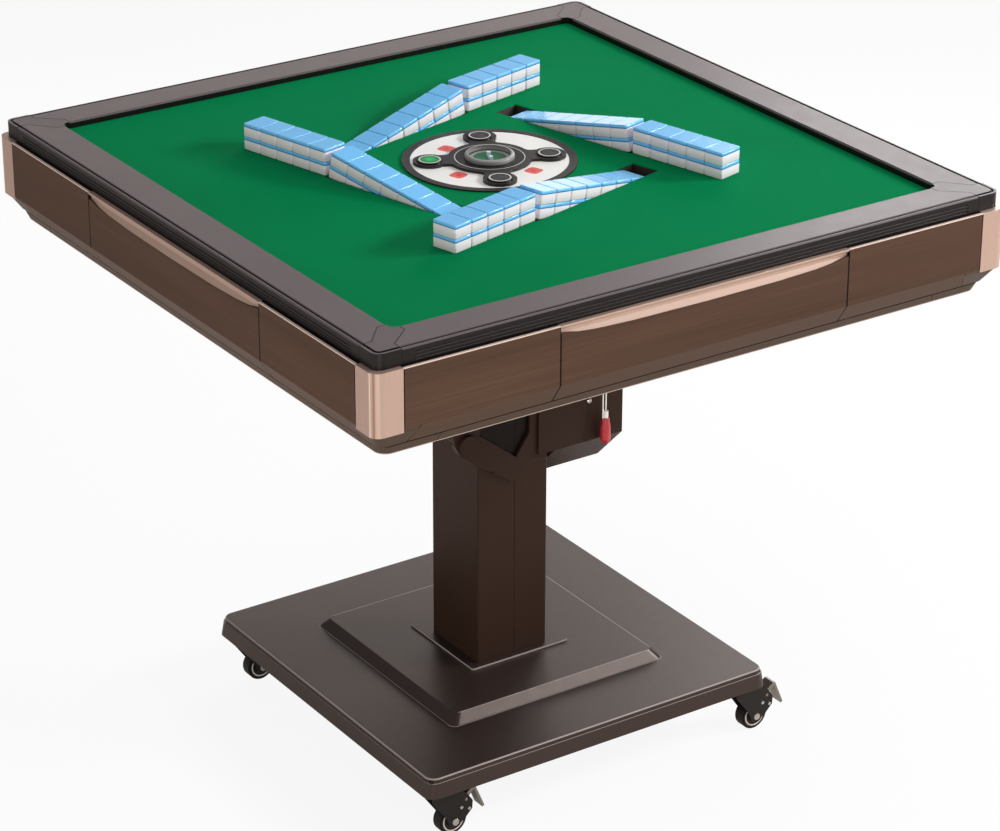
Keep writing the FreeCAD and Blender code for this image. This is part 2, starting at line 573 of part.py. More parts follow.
def bottom_tray():
    body = new_body("bottom_tray")
    top = "panel_foot - seat_gap"
    wedge(body, "tray_foot", top, even("tray_half"), even("tray_half + tray_flare"))
    soften(body, "Fillet", "tray_corner", lambda edge: upright(edge, num("tray_mouth")))
    shadow = loop(sketch(body, top), square("tray_half + tray_flare + overrun"))
    pocket(body, loop(shadow, square("tray_half + tray_flare - tray_groove_deep")), "tray_groove")
    dig(body, "tray_foot + tray_floor", top, square("tray_half - tray_wall"))
    dig(body, "tray_foot - overrun", top, square("tray_mouth"))
    ribs = []
    inner = "drawer_half - drawer_inset - runner_inset"
    for left, right in ((f"-({inner})", f"-({inner}) + runner_wide"), (f"{inner} - runner_wide", inner)):
        rib = box_points(left, right, "-(tray_half - tray_wall)", "-tray_mouth")
        ribs.append(slab(body, "tray_foot + tray_floor", "drawer_foot - seat_gap", rib))
    seams = sketch(body, "tray_half + tray_flare", "XZ_Plane")
    for sign in ("-", ""):
        line = [("tray_seam_low", "tray_foot"), ("tray_seam_low + tray_seam_wide", "tray_foot"),
                ("tray_seam_top + tray_seam_wide", top), ("tray_seam_top", top)]
        loop(seams, [(f"{sign}({across})", up) for across, up in line])
    ribs.append(pocket(body, seams, "tray_flare + tray_seam_deep"))
    around(body, ribs)


def foot_seam(sign, gap):
    """The slanted end of a side panel's bevel, as seen on the front face, with the corner's side left out."""
    top, low = f"(foot_seam_top - {gap})", f"(foot_seam_low - {gap})"
    return [(f"{sign}{across}", up) for across, up in (
        (low, "panel_foot - seat_gap"), (top, "post_foot"), ("(body_half + overrun)", "post_foot"),
        ("(body_half + overrun)", "panel_foot - seat_gap"))]


def bottom_corners():
    body = new_body("bottom_corners")
    inner = "-(body_half - post_wide)"
    high = "post_foot - seat_gap"
    fall = "panel_bevel * (panel_kink - post_foot + seat_gap) / (panel_kink - panel_foot)"
    low_half = "-(body_half - panel_bevel)"
    high_half = f"-(body_half - {fall})"
    wedge(body, "panel_foot", high, (low_half, inner, low_half, inner), (high_half, inner, high_half, inner))
    soften(body, "Fillet", "post_corner", lambda edge: upright(edge, num("body_half - panel_bevel")))
    reach = "-foot_seam_top"
    back = "panel_thick"
    wedge(body, "panel_foot", high, (inner, reach, low_half, f"{low_half} + {back}"),
          (inner, reach, high_half, f"{high_half} + {back}"))
    wedge(body, "panel_foot", high, (low_half, f"{low_half} + {back}", inner, reach),
          (high_half, f"{high_half} + {back}", inner, reach))
    slant = [("-foot_seam_low", "panel_foot - seat_gap"), ("-foot_seam_top", high),
             ("-foot_seam_top + overrun", high), ("-foot_seam_top + overrun", "panel_foot - seat_gap")]
    pocket(body, loop(sketch(body, "body_half", "XZ_Plane"), slant), "body_half - foot_seam_top")
    pocket(body, loop(sketch(body, "-foot_seam_top", "YZ_Plane"), slant), "body_half - foot_seam_top")
    around(body)


def corner_posts():
    body = new_body("corner_posts")
    inner = "-(body_half - post_wide)"
    back = "-(body_half - panel_thick)"
    plan = [("-body_half", "-body_half"), (inner, "-body_half"), (inner, back), (back, back), (back, inner),
            ("-body_half", inner)]
    angle = slab(body, "post_foot", "panel_top", plan)
    around(body, [angle])
    soften(body, "Fillet", "post_corner", lambda edge: upright(edge, num("body_half - nearness")))


def panel_section(flip="-"):
    """The bent section of a side panel or drawer front, as across and up on the front face."""
    face = "body_half"
    back = "(body_half - panel_thick)"
    points = [(face, "panel_top"), (face, "panel_kink"), (f"({face} - panel_bevel)", "panel_foot"),
              (f"({back} - panel_bevel)", "panel_foot"), (back, "panel_kink"), (back, "panel_top")]
    return [(f"{flip}{across}", up) for across, up in points]


def side_panels():
    body = new_body("side_panels")
    outer = "body_half - post_wide - panel_gap"
    inner = "drawer_half + drawer_gap"
    for start in (f"-({outer})", inner):
        section = loop(sketch(body, start, "YZ_Plane"), panel_section())
        pad(body, section, f"({outer}) - ({inner})")
    for sign in ("-", ""):
        end = loop(sketch(body, "body_half", "XZ_Plane"), foot_seam(sign, "foot_seam_gap"))
        pocket(body, end, "panel_bevel + panel_thick * 2")
    around(body)


def top_rails():
    body = new_body("top_rails")
    out, low = "rim_half", RAIL_FOOT
    section = [(f"{RIM_IN} - rail_ledge", "rail_low"), (RAIL_OUT, "rail_low"), (RAIL_OUT, low), (out, low),
               (out, f"{LIP_TOP} - lip_edge"), (f"{out} - lip_edge", LIP_TOP), (LIP_IN, LIP_TOP),
               (LIP_IN, GROOVE_LOW), (GROOVE_IN, GROOVE_LOW), (GROOVE_IN, "rim_top - rim_edge"),
               (f"{GROOVE_IN} - rim_edge", "rim_top"), (f"{RIM_IN} + rim_inner_edge", "rim_top"),
               (RIM_IN, "rim_top - rim_inner_edge"), (RIM_IN, BOARD_LOW),
               (f"{RIM_IN} - rail_ledge", BOARD_LOW)]
    profile = loop(sketch(body, "-seam_out", "YZ_Plane"), [(f"-({across})", up) for across, up in section])
    pad(body, profile, "2 * seam_out")
    bands = sketch(body, out, "XZ_Plane")
    for step in range(RAIL_BANDS):
        start = f"{low} + band_start + band_pitch * {step}"
        loop(bands, box_points("-band_half", "band_half", start, f"{start} + band_groove"))
    pocket(body, bands, "band_groove")
    for sign in ("-", ""):
        end = [("seam_in", f"-({RIM_IN} - rail_ledge - overrun)"), ("seam_in", f"-({RIM_IN} + seam_near)"),
               ("seam_out", f"-({RIM_IN} + seam_far)"), ("seam_out + overrun", f"-({RIM_IN} + seam_far)"),
               ("seam_out + overrun", f"-({RIM_IN} - rail_ledge - overrun)")]
        trimmed = [(f"{sign}({across})", up) for across, up in end]
        dig(body, "rail_low - overrun", "rim_top + overrun", trimmed)
    around(body)


def corner_outline(out, inner):
    """Plan of a top corner piece between the two zigzag seams."""
    near, far = f"({RIM_IN} + seam_near)", f"({RIM_IN} + seam_far)"
    first, last = "(seam_in + seam_gap)", "(seam_out + seam_gap)"
    arm = [(last, out), (last, far), (first, near), (first, inner)]
    mirrored = [(up, across) for across, up in reversed(arm)]
    if inner == first:
        arm.pop()
    else:
        arm.append((inner, inner))
    return [(f"-{across}", f"-{up}") for across, up in [(out, out)] + arm + mirrored]


def top_corners():
    body = new_body("top_corners")
    ledge = "(seam_in + seam_gap)"
    levels = (("rail_low", BOARD_LOW, RAIL_OUT, ledge), (BOARD_LOW, RAIL_FOOT, RAIL_OUT, RIM_IN),
              (RAIL_FOOT, GROOVE_LOW, "rim_half", RIM_IN), (GROOVE_LOW, "rim_top", GROOVE_IN, RIM_IN))
    made = []
    for low, high, out, inner in levels:
        made.append(slab(body, low, high, corner_outline(out, inner)))
    end = "(seam_out + seam_gap)"
    lip = [("rim_half", "rim_half"), (end, "rim_half"), (end, LIP_IN), (LIP_IN, LIP_IN), (LIP_IN, end),
           ("rim_half", end)]
    made.append(slab(body, GROOVE_LOW, LIP_TOP, [(f"-{across}", f"-{up}") for across, up in lip]))
    rounds = (("rim_corner", "rim_half"), ("rim_corner - lip_wide", LIP_IN),
              ("rim_corner - lip_wide - lip_groove", GROOVE_IN), ("felt_corner", RIM_IN))
    foot = num(f"{RAIL_FOOT} + nearness")
    for radius, half in rounds:
        place = num(half)
        soften(body, "Fillet", radius, lambda edge: at_corner(edge, place) and edge.BoundBox.ZMax > foot)
    around(body)


def lane_slot(side_room):
    return box_points("-slot_down", "slot_up", f"-(lane_out + {side_room})", f"-(lane_out - {side_room})")


def sheet_with_slots(label, low, high, half):
    body = new_body(label)
    slab(body, low, high, square(half))
    soften(body, "Fillet", "felt_corner", lambda edge: at_corner(edge, num(half)))
    drill(body, f"{low} - overrun", high, "board_hole")
    slot = dig(body, f"{low} - overrun", high, lane_slot("slot_side"), "lane_turn")
    around(body, [slot])
    return body


def play_board():
    half = f"{RIM_IN} - board_gap"
    sheet_with_slots("play_board", BOARD_LOW, BOARD_TOP, half)
    sheet_with_slots("felt_sheet", BOARD_TOP, FELT_TOP, half)


def lane_troughs():
    body = new_body("lane_troughs")
    low, floor = "trough_low", "trough_low + trough_wall"
    outer = box_points("-slot_down - trough_wall", "slot_up + trough_wall",
                       "-(lane_out + slot_side + trough_wall)", "-(lane_out - slot_side - trough_wall)")
    made = [slab(body, low, BOARD_LOW, outer, "lane_turn")]
    made.append(dig(body, floor, BOARD_LOW, lane_slot("slot_side"), "lane_turn"))
    sunk = "ramp_long * sin(ramp_tilt * 1deg) + (hinge_deep - ramp_thick) * (1 - cos(ramp_tilt * 1deg))"
    rest = f"{FELT_TOP} - ramp_thick - ({sunk}) - seat_gap * 2"
    block = box_points("ramp_long - hinge_down - trough_rest * 2", "ramp_long - hinge_down - trough_rest",
                       "-(lane_out + slot_side)", "-(lane_out - slot_side)")
    made.append(slab(body, floor, rest, block, "lane_turn"))
    for near, far in (("-(lane_out + ear_in + ear_thick)", "-(lane_out + ear_in)"),
                      ("-(lane_out - ear_in)", "-(lane_out - ear_in - ear_thick)")):
        ear = box_points("-slot_down + ramp_nose / 2", "-slot_down + ear_wide", near, far)
        made.append(slab(body, floor, f"{BOARD_TOP} - seat_gap", ear, "lane_turn"))
    around(body, made)
    for side in range(SIDES):
        cut_ear_holes(body, side)


def cut_ear_holes(body, side):
    """The bore for a ramp's hinge pin, through both ears of one trough."""
    turn = num("lane_turn") + side * 360.0 / SIDES
    made = body.newObject("Sketcher::SketchObject", "Sketch")
    made.AttachmentSupport = [(origin(body, "XZ_Plane"), "")]
    made.MapMode = "FlatFace"
    made.AttachmentOffset = FreeCAD.Placement(V(0, 0, 0), FreeCAD.Rotation(V(0, 1, 0), turn))
    ring(made, "ramp_pin + pin_fit", "-hinge_down", f"{FELT_TOP} - hinge_deep")
    before = body.Shape.Volume
    feature = body.newObject("PartDesign::Pocket", "Pocket")
    feature.Profile = made
    feature.Reversed = True
    feature.setExpression("Length", on_sheet("lane_out + ear_in + ear_thick"))
    doc.recompute()
    if body.Shape.Volume >= before:
        raise RuntimeError("an ear has no bore")


def tile_outline(start):
    """Plan of one tile, with its upright corners taken off."""
    left, right = f"({start})", f"({start} + tile_wide)"
    low, high = "-(lane_out + tile_long / 2)", "-(lane_out - tile_long / 2)"
    trim = "tile_corner"
    return [(f"{left} + {trim}", low), (f"{right} - {trim}", low), (right, f"{low} + {trim}"),
            (right, f"{high} - {trim}"), (f"{right} - {trim}", high), (f"{left} + {trim}", high),
            (left, f"{high} - {trim}"), (left, f"{low} + {trim}")]


def tile_wall(body, starts, turn):
    """Two layers of tiles standing on the felt's level."""
    layers = []
    for layer in range(TILE_LAYERS):
        low = f"{FELT_TOP} + tile_lift + (tile_thick + tile_lift) * {layer}"
        plan = sketch(body, low, turn=turn)
        for start in starts:
            loop(plan, tile_outline(start))
        layers.append(pad(body, plan, "tile_thick"))
    return layers


def wall_tiles():
    body = new_body("wall_tiles")
    starts = [f"-flat_start - (tile_wide + tile_gap) * {count} - tile_wide" for count in range(LEVEL_STACKS)]
    around(body, tile_wall(body, starts, "lane_turn"))


def ramp(side):
    body = new_body(f"ramp_flap_{side + 1}")
    leaf = box_points("-hinge_down - ramp_nose", "ramp_long - hinge_down",
                      "-(lane_out + ramp_side)", "-(lane_out - ramp_side)")
    slab(body, f"{FELT_TOP} - ramp_thick", FELT_TOP, leaf)
    knuckle = box_points("-hinge_down - ramp_nose", "-hinge_down - ramp_nose + knuckle_wide",
                         "-(lane_out + ramp_side)", "-(lane_out - ramp_side)")
    slab(body, f"{FELT_TOP} - knuckle_deep", f"{FELT_TOP} - ramp_thick", knuckle)
    pin = ring(sketch(body, "lane_out - ear_in - ear_thick", "XZ_Plane"), "ramp_pin", "-hinge_down",
               f"{FELT_TOP} - hinge_deep")
    pad(body, pin, "2 * (ear_in + ear_thick)")
    body.Placement = lane_place(side, tilted=True)
    tiles = new_body(f"ramp_tiles_{side + 1}")
    starts = [f"-hinge_down + tile_gap * 2 + (tile_wide + tile_gap) * {count}"
              for count in range(RAMP_STACKS)]
    tile_wall(tiles, starts, "0")
    tiles.Placement = lane_place(side, tilted=True)


def console():
    deck = f"({FELT_TOP} + deck_lift)"
    bezel = new_body("console_bezel")
    collar = ring(ring(sketch(bezel, FELT_TOP), "ring_out"), "ring_in")
    pad(bezel, collar, "ring_tall")
    sleeve = ring(ring(sketch(bezel, "sleeve_low"), "ring_in + sleeve_wall"), "ring_in")
    pad(bezel, sleeve, f"{FELT_TOP} + ring_tall - sleeve_low")
    drum = new_body("console_body")
    post(drum, "drum_low", deck, "drum_round")
    drill(drum, "drum_low - overrun", f"{deck} - deck_thick", "drum_round - drum_wall")
    hub = new_body("console_hub")
    top = f"{deck} + hub_tall"
    post(hub, deck, top, "hub_round")
    arm = slab(hub, deck, top, box_points("0", "arm_out", "-arm_half", "arm_half"), "arm_turn")
    end = post(hub, deck, top, "arm_end", "arm_out", turn="arm_turn")
    around(hub, [arm, end])
    soften(hub, "Fillet", "arm_blend", inner_corner)
    well = drill(hub, f"{deck} - overrun", top, "button_round + button_gap", "arm_out", turn="arm_turn")
    around(hub, [well])
    drill(hub, f"{top} - well_deep", top, "dice_well")
    floor = f"{deck} - button_deep"
    well = drill(drum, floor, deck, "button_round + button_gap", "arm_out", turn="arm_turn")
    around(drum, [well])
    plate = new_body("dice_plate")
    seat = f"{top} - well_deep + seat_gap"
    post(plate, seat, f"{seat} + dice_plate_thick", "dice_plate_round")
    for sign in ("-", ""):
        across = f"{sign}dice_out"
        dice = box_points(f"{across} - dice_side / 2", f"{across} + dice_side / 2",
                          "-dice_side / 2", "dice_side / 2")
        slab(plate, f"{seat} + dice_plate_thick", f"{seat} + dice_plate_thick + dice_side", dice, "arm_turn")
    dome = new_body("console_dome")
    post(dome, top, f"{top} + dome_tall", "dome_round")
    soften(dome, "Fillet", "dome_edge", lambda edge: at_height(edge, f"{top} + dome_tall"))
    drill(dome, f"{top} - overrun", f"{top} + dome_tall - dome_wall", "dome_round - dome_wall * 2")
    for side in range(SIDES):
        button = new_body(f"console_button_{side + 1}")
        post(button, f"{floor} + button_room", f"{top} + button_proud", "button_round", "arm_out",
             turn="arm_turn")
        button.Placement = side_place(side)


def shuffler():
    motor = new_body("shuffle_motor")
    floor = "pan_foot + pan_wall"
    post(motor, floor, f"{floor} + motor_tall", "motor_round")
    post(motor, f"{floor} + motor_tall", "disc_hub_low - seat_gap", "disc_hub")
    post(motor, "disc_hub_low - seat_gap", "shaft_top", "shaft_round")
    disc = new_body("shuffle_disc")
    post(disc, "disc_hub_low", "disc_low + disc_thick", "disc_hub")
    post(disc, "disc_low", "disc_low + disc_thick", "disc_round")
    top = "disc_low + disc_thick"
    paddle = slab(disc, top, f"{top} + paddle_tall",
                  box_points("paddle_in", "paddle_out", "-paddle_half", "paddle_half"))
    around(disc, [paddle])
    drill(disc, "disc_hub_low - overrun", f"{top} + overrun", "shaft_round + spin_fit")


def pull_outline(grow):
    """The lens shape of a drawer's pull on its front, deepest in the middle."""
    half = f"(drawer_half - {grow})"
    line_shares = ((1.0, 0.0), (0.95, 0.16), (0.88, 0.5), (0.76, 0.74), (0.5, 0.93), (0.0, 1.0))
    line = [(f"{half} * {across}", f"panel_top - pull_end - (pull_middle - pull_end) * {drop}")
            for across, drop in line_shares]
    right = [(half, "panel_top")] + line
    left = [(f"-({across})", up) for across, up in reversed(right[:-1])]
    return right + left


def drawer(side):
    body = new_body(f"drawer_box_{side + 1}")
    section = loop(sketch(body, "-drawer_half", "YZ_Plane"), panel_section())
    pad(body, section, "2 * drawer_half")
    back = "(body_half - panel_thick)"
    half = "(drawer_half - drawer_inset)"
    tray = box_points(f"-{half}", half, f"-{back}", f"-({back} - drawer_deep)")
    slab(body, "drawer_foot", "drawer_foot + drawer_tall", tray)
    room = box_points(f"-({half} - drawer_wall)", f"{half} - drawer_wall", f"-{back}",
                      f"-({back} - drawer_deep + drawer_wall)")
    dig(body, "drawer_foot + drawer_wall", "drawer_foot + drawer_tall", room)
    recess = loop(sketch(body, "body_half", "XZ_Plane"), pull_outline("0"))
    pocket(body, recess, "pull_deep")
    body.Placement = side_place(side)
    pull = new_body(f"drawer_pull_{side + 1}")
    bar = loop(sketch(pull, "body_half - pull_deep + pull_fit", "XZ_Plane"), pull_outline("pull_fit"))
    pad(pull, bar, "pull_deep - pull_fit")
    scoop = [("-body_half - overrun", "panel_top - pull_lip"), ("-body_half", "panel_top - pull_lip"),
             ("-body_half + pull_scoop", "panel_top - pull_lip * 2"),
             ("-body_half + pull_scoop", "panel_top - pull_end"),
             ("-body_half", "panel_top - pull_middle"), ("-body_half - overrun", "panel_top - pull_middle")]
    pocket(pull, loop(sketch(pull, "0", "YZ_Plane"), scoop), "2 * (drawer_half + overrun)", both=True)
    pull.Placement = side_place(side)


def release_grip():
    body = new_body("release_grip")
    depth = GRIP_Y
    rings = (("grip_low", "grip_end"), ("grip_low + grip_foot", "grip_round"),
             ("grip_shoulder", "grip_round"), ("grip_top", "grip_neck"))
    for (low, thin), (high, thick) in zip(rings, rings[1:]):
        lower = ring(sketch(body, low), thin, "grip_x", depth)
        loft(body, lower, ring(sketch(body, high), thick, "grip_x", depth))
    post(body, "grip_top", "grip_top + ferrule_tall", "ferrule_round", "grip_x", depth)
    post(body, "grip_top + ferrule_tall", "wire_top", "wire_round", "grip_x", depth)
    post(body, "grip_top - grip_foot", "wire_top", "wire_round", "grip_x - wire_aside", depth)
    bead = box_points("grip_x - bead_left", "grip_x + bead_half", f"{depth} - bead_half / 2",
                      f"{depth} + bead_half / 2")
    slab(body, "wire_top", "wire_top + bead_tall", bead)


base_cover()
base_plate()
caster_plates()
casters()
column()
head_cheeks()
pivot_pin()
tilt_frame()
machine_pan()
bottom_tray()
bottom_corners()
corner_posts()
side_panels()
top_rails()
top_corners()
play_board()
lane_troughs()
wall_tiles()
for number in range(SIDES):
    ramp(number)
    drawer(number)
console()
shuffler()
release_grip()
doc.recompute()

for item in doc.Objects:
    if "Invalid" in item.State or "Error" in item.State:
        raise RuntimeError(f"{item.Name} ({item.Label}) failed")
for node in nodes:
    if node.Shape.isNull() or not node.Shape.isValid():
        raise RuntimeError(f"{node.Label} has no valid shape")

os.makedirs("parts", exist_ok=True)
for node in nodes:
    node.Shape.exportStep(f"parts/{node.Label}.step")
print(len(nodes), "nodes written")
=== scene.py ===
import functools
import math

import bmesh
import bpy
from mathutils import Matrix, Vector


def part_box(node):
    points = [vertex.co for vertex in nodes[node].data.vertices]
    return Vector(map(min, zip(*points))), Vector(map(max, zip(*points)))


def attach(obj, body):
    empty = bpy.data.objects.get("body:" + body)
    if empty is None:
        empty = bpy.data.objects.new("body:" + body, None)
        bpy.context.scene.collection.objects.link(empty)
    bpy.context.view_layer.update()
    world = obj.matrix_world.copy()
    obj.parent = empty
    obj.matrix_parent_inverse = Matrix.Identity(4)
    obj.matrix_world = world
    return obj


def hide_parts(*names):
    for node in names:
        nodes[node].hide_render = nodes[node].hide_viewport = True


# The looks of an automatic mahjong table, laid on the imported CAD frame.
# Metres, +Z up, origin on the floor under the middle of the table.

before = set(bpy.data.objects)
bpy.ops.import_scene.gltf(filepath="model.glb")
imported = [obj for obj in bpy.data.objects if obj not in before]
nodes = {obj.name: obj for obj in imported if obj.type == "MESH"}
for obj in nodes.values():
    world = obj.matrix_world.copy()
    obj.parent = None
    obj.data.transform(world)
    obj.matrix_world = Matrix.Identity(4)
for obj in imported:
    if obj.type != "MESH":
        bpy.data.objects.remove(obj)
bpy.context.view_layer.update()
SIDES = (1, 2, 3, 4)
EDGE_ROUND = 0.0006


# Tools for materials


class Flow:
    """A value on its way through a node tree: an expression on flows adds its Math nodes."""

    def __init__(self, shading, socket):
        self.shading, self.socket = shading, socket

    def math(self, operation, *values):
        return self.shading.node("ShaderNodeMath", {"operation": operation}, dict(enumerate(values)))

    def __add__(self, other):
        return self.math("ADD", self, other)

    def __radd__(self, other):
        return self.math("ADD", other, self)

    def __sub__(self, other):
        return self.math("SUBTRACT", self, other)

    def __rsub__(self, other):
        return self.math("SUBTRACT", other, self)

    def __mul__(self, other):
        return self.math("MULTIPLY", self, other)

    def __rmul__(self, other):
        return self.math("MULTIPLY", other, self)

    def __pow__(self, other):
        return self.math("POWER", self, other)

    def __rpow__(self, other):
        return self.math("POWER", other, self)

    def __gt__(self, other):
        return self.math("GREATER_THAN", self, other)

    def __lt__(self, other):
        return self.math("LESS_THAN", self, other)

    def __abs__(self):
        return self.math("ABSOLUTE", self)

    def most(self, other):
        return self.math("MAXIMUM", self, other)

    def least(self, other):
        return self.math("MINIMUM", self, other)

    def between(self, low, high):
        return (self > low) * (self < high)


def any_of(masks):
    """1 where at least one of the masks is."""
    return functools.reduce(Flow.most, masks)


class Shading:
    """A node tree, with one way to add nodes to it."""

    def __init__(self, tree):
        self.tree = tree

    def set(self, shader, socket, value):
        """Links a flow to a socket, or sets a constant on it."""
        if isinstance(value, Flow):
            self.tree.links.new(value.socket, shader.inputs[socket])
        else:
            shader.inputs[socket].default_value = value

    def node(self, kind, settings, sockets, out=0):
        """Adds a node: its settings first, then the values or links of its sockets."""
        made = self.tree.nodes.new(kind)
        for name, value in settings.items():
            if name == "stops":
                ramp = made.color_ramp
                while len(ramp.elements) < len(value):
                    ramp.elements.new(1.0)
                for element, (place, colour) in zip(ramp.elements, value):
                    element.position, element.color = place, colour
            else:
                setattr(made, name, value)
        for name, value in sockets.items():
            self.set(made, name, value)
        return Flow(self, made.outputs[out])

    def kept(self, kind):
        """The node of a kind that the tree started with."""
        return next(node for node in self.tree.nodes if node.type == kind)

    def seen(self, *ways):
        """1 on rays that come in one of these ways, such as from the camera."""
        return any_of(self.node("ShaderNodeLightPath", {}, {}, f"Is {way} Ray") for way in ways)


def tint(red, green, blue):
    """A colour as the eye reads it, 0 to 255, made linear."""
    parts = [part / 255 for part in (red, green, blue)]
    return tuple(p / 12.92 if p < 0.04045 else ((p + 0.055) / 1.055) ** 2.4 for p in parts) + (1.0,)


def shade(colour, share):
    """The same colour, darker or lighter."""
    return tuple(min(1.0, part * share) for part in colour[:3]) + (1.0,)


class Finish(Shading):
    """One material round a single principled shader: plain values first, then what varies over them."""

    def __init__(self, name, colour, roughness, metallic=0.0, **fixed):
        self.material = bpy.data.materials.new(name)
        self.material.use_nodes = True
        super().__init__(self.material.node_tree)
        self.shader = self.kept("BSDF_PRINCIPLED")
        self.give("Base Color", colour)
        self.give("Roughness", roughness)
        self.give("Metallic", metallic)
        for socket, value in fixed.items():
            self.give(socket.replace("_", " "), value)

    def give(self, socket, value):
        self.set(self.shader, socket, value)
        return self

    def place(self):
        return self.node("ShaderNodeTexCoord", {}, {}, "Object")

    def part(self, vector, axis):
        return self.node("ShaderNodeSeparateXYZ", {}, {0: vector}, axis)

    def across(self):
        """The three coordinates of the surface point, in metres at rest."""
        place = self.place()
        return [self.part(place, axis) for axis in "XYZ"]

    def facing(self, axis):
        """How far the surface looks along one of the piece's own axes."""
        return self.part(self.node("ShaderNodeTexCoord", {}, {}, "Normal"), axis)

    def vector(self, x, y, z):
        return self.node("ShaderNodeCombineXYZ", {}, {0: x, 1: y, 2: z})

    def noise(self, scale, detail, rough=0.55, at=None):
        sockets = {"Vector": at or self.place(), "Scale": scale, "Detail": detail, "Roughness": rough}
        return self.node("ShaderNodeTexNoise", {}, sockets, "Fac")

    def smooth(self, value, low, high):
        """0 at low, 1 at high and smooth between them; low may be the larger."""
        sockets = {"Value": value, "From Min": low, "From Max": high}
        return self.node("ShaderNodeMapRange", {"interpolation_type": "SMOOTHSTEP"}, sockets)

    def mix(self, share, first, second):
        return self.node("ShaderNodeMix", {"data_type": "RGBA"}, {0: share, 6: first, 7: second}, 2)

    def cloud(self, first, second, scale, detail, share=1.0):
        """A colour that drifts towards another."""
        return self.mix(self.noise(scale, detail) * share, first, second)

    def uneven(self, rough, scale, detail, spread):
        """A roughness that wanders to both sides of its mean."""
        return self.give("Roughness", rough + (self.noise(scale, detail) - 0.5) * spread)

    def bump(self, height, deep, strength, edge=EDGE_ROUND):
        """Fine relief over edges that are rounded by a hair."""
        rounded = self.node("ShaderNodeBevel", {"samples": 4}, {"Radius": edge})
        sockets = {"Height": height, "Distance": deep, "Strength": strength, "Normal": rounded}
        return self.give("Normal", self.node("ShaderNodeBump", {}, sockets))

    def distance(self, first, second):
        return (first ** 2.0 + second ** 2.0) ** 0.5

    def radius(self, x=0.0, y=0.0):
        """Distance of the surface point from an upright axis."""
        east, north, _ = self.across()
        return self.distance(east - x, north - y)


def box_middle(name):
    """The middle of a CAD node's box at rest."""
    low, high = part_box(name)
    return (low + high) / 2


# Paint of the base and the column

WARM_GLOSS = (1.0, 0.84, 0.77, 1.0)
PEEL_GRAIN, PEEL_DEEP, PAINT_EDGE = 900.0, 0.00012, 0.0009


def powder_coat(name, colour, rough, gloss):
    """Baked powder paint: fine orange peel and an uneven gloss."""
    finish = Finish(name, colour, rough, Specular_IOR_Level=gloss, Specular_Tint=WARM_GLOSS)
    finish.uneven(rough, scale=PEEL_GRAIN / 6, detail=2.0, spread=0.14)
    return finish.bump(finish.noise(PEEL_GRAIN, 2.0), PEEL_DEEP, strength=0.3, edge=PAINT_EDGE)


def paint_cloud(finish, colour):
    """The slow cloud in the colour of powder paint."""
    return finish.cloud(colour, shade(colour, 0.74), scale=7.0, detail=4.0, share=0.4)


COLUMN_BROWN, COLUMN_ROUGH, COLUMN_GLOSS = tint(48, 32, 25), 0.44, 0.16
# Painted shade for the inside of the notch between the cheeks, and the height where it starts
NOTCH_PAINTED_SHADE, NOTCH_FOOT = tint(10, 7, 6), 0.394


def column_coat():
    """The paint of the column's head and pin, the tilt frame and the machine's pan."""
    finish = powder_coat("column_paint", COLUMN_BROWN, COLUMN_ROUGH, COLUMN_GLOSS)
    return finish.give("Base Color", paint_cloud(finish, COLUMN_BROWN))


def channel_paint():
    """The column's paint, with painted shade, near black, where the notch between the cheeks lets one look
    in.
    """
    finish = powder_coat("channel_paint", COLUMN_BROWN, COLUMN_ROUGH, COLUMN_GLOSS)
    # Painted shade: the channel's front and back faces above the notch's foot are painted near black
    deep = (finish.across()[2] > NOTCH_FOOT) * (abs(finish.facing("Y")) > 0.5)
    return finish.give("Base Color", finish.mix(deep, COLUMN_BROWN, NOTCH_PAINTED_SHADE))


# The second colour is a painted highlight for thin lines on the base's edges
BASE_BROWN, BASE_PAINTED_HIGHLIGHT = tint(48, 38, 35), tint(176, 164, 162)
BASE_FOOT, RISE_TOP = (corner.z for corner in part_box("base_cover"))
BASE_LEDGE, BASE_TOP, BASE_EDGE = BASE_FOOT + 0.0200, BASE_FOOT + 0.0264, 0.0022
RISE_HALF, RISE_LINE = 0.1542, 0.0010


def base_coat():
    """The base's paint, with painted highlights along its top edge, the step below, the rise's rim and the
    flange's sides.
    """
    finish = powder_coat("base_paint", BASE_BROWN, 0.36, 0.45)
    east, north, up = finish.across()
    tilt = finish.facing("Z")
    round_edge = up.between(BASE_TOP - BASE_EDGE, BASE_TOP + BASE_EDGE / 8) * tilt.between(0.3, 0.97)
    step = (abs(up - BASE_LEDGE) < BASE_EDGE / 4) * (tilt > 0.6)
    rise_rim = (abs(up - RISE_TOP) < RISE_LINE / 4) * (east.most(abs(north)) > RISE_HALF - RISE_LINE)
    flange_side = (up > RISE_TOP + RISE_LINE / 2) * (tilt < 0.5)
    # Painted highlight: light lines on the top edge's round, the step, the rise's rim and the flange's
    # sides
    base_painted_highlight = any_of((round_edge, step, rise_rim, flange_side)) * 0.7
    return finish.give("Base Color", finish.mix(base_painted_highlight, paint_cloud(finish, BASE_BROWN), BASE_PAINTED_HIGHLIGHT))


# Plain plastics and metals

SPARK_GRAIN, SPARK_DEEP = 1600.0, 0.00008


def spark_texture(finish):
    """The fine relief that a spark-eroded mould leaves on plastic."""
    return finish.bump(finish.noise(SPARK_GRAIN, 2.0), SPARK_DEEP, strength=0.3)


def moulded(name, colour, rough, **fixed):
    """Plain moulded plastic."""
    finish = Finish(name, colour, rough, **fixed)
    finish.give("Base Color", finish.cloud(colour, shade(colour, 0.8), scale=14.0, detail=3.0, share=0.3))
    finish.uneven(rough, scale=60.0, detail=3.0, spread=0.12)
    return spark_texture(finish)


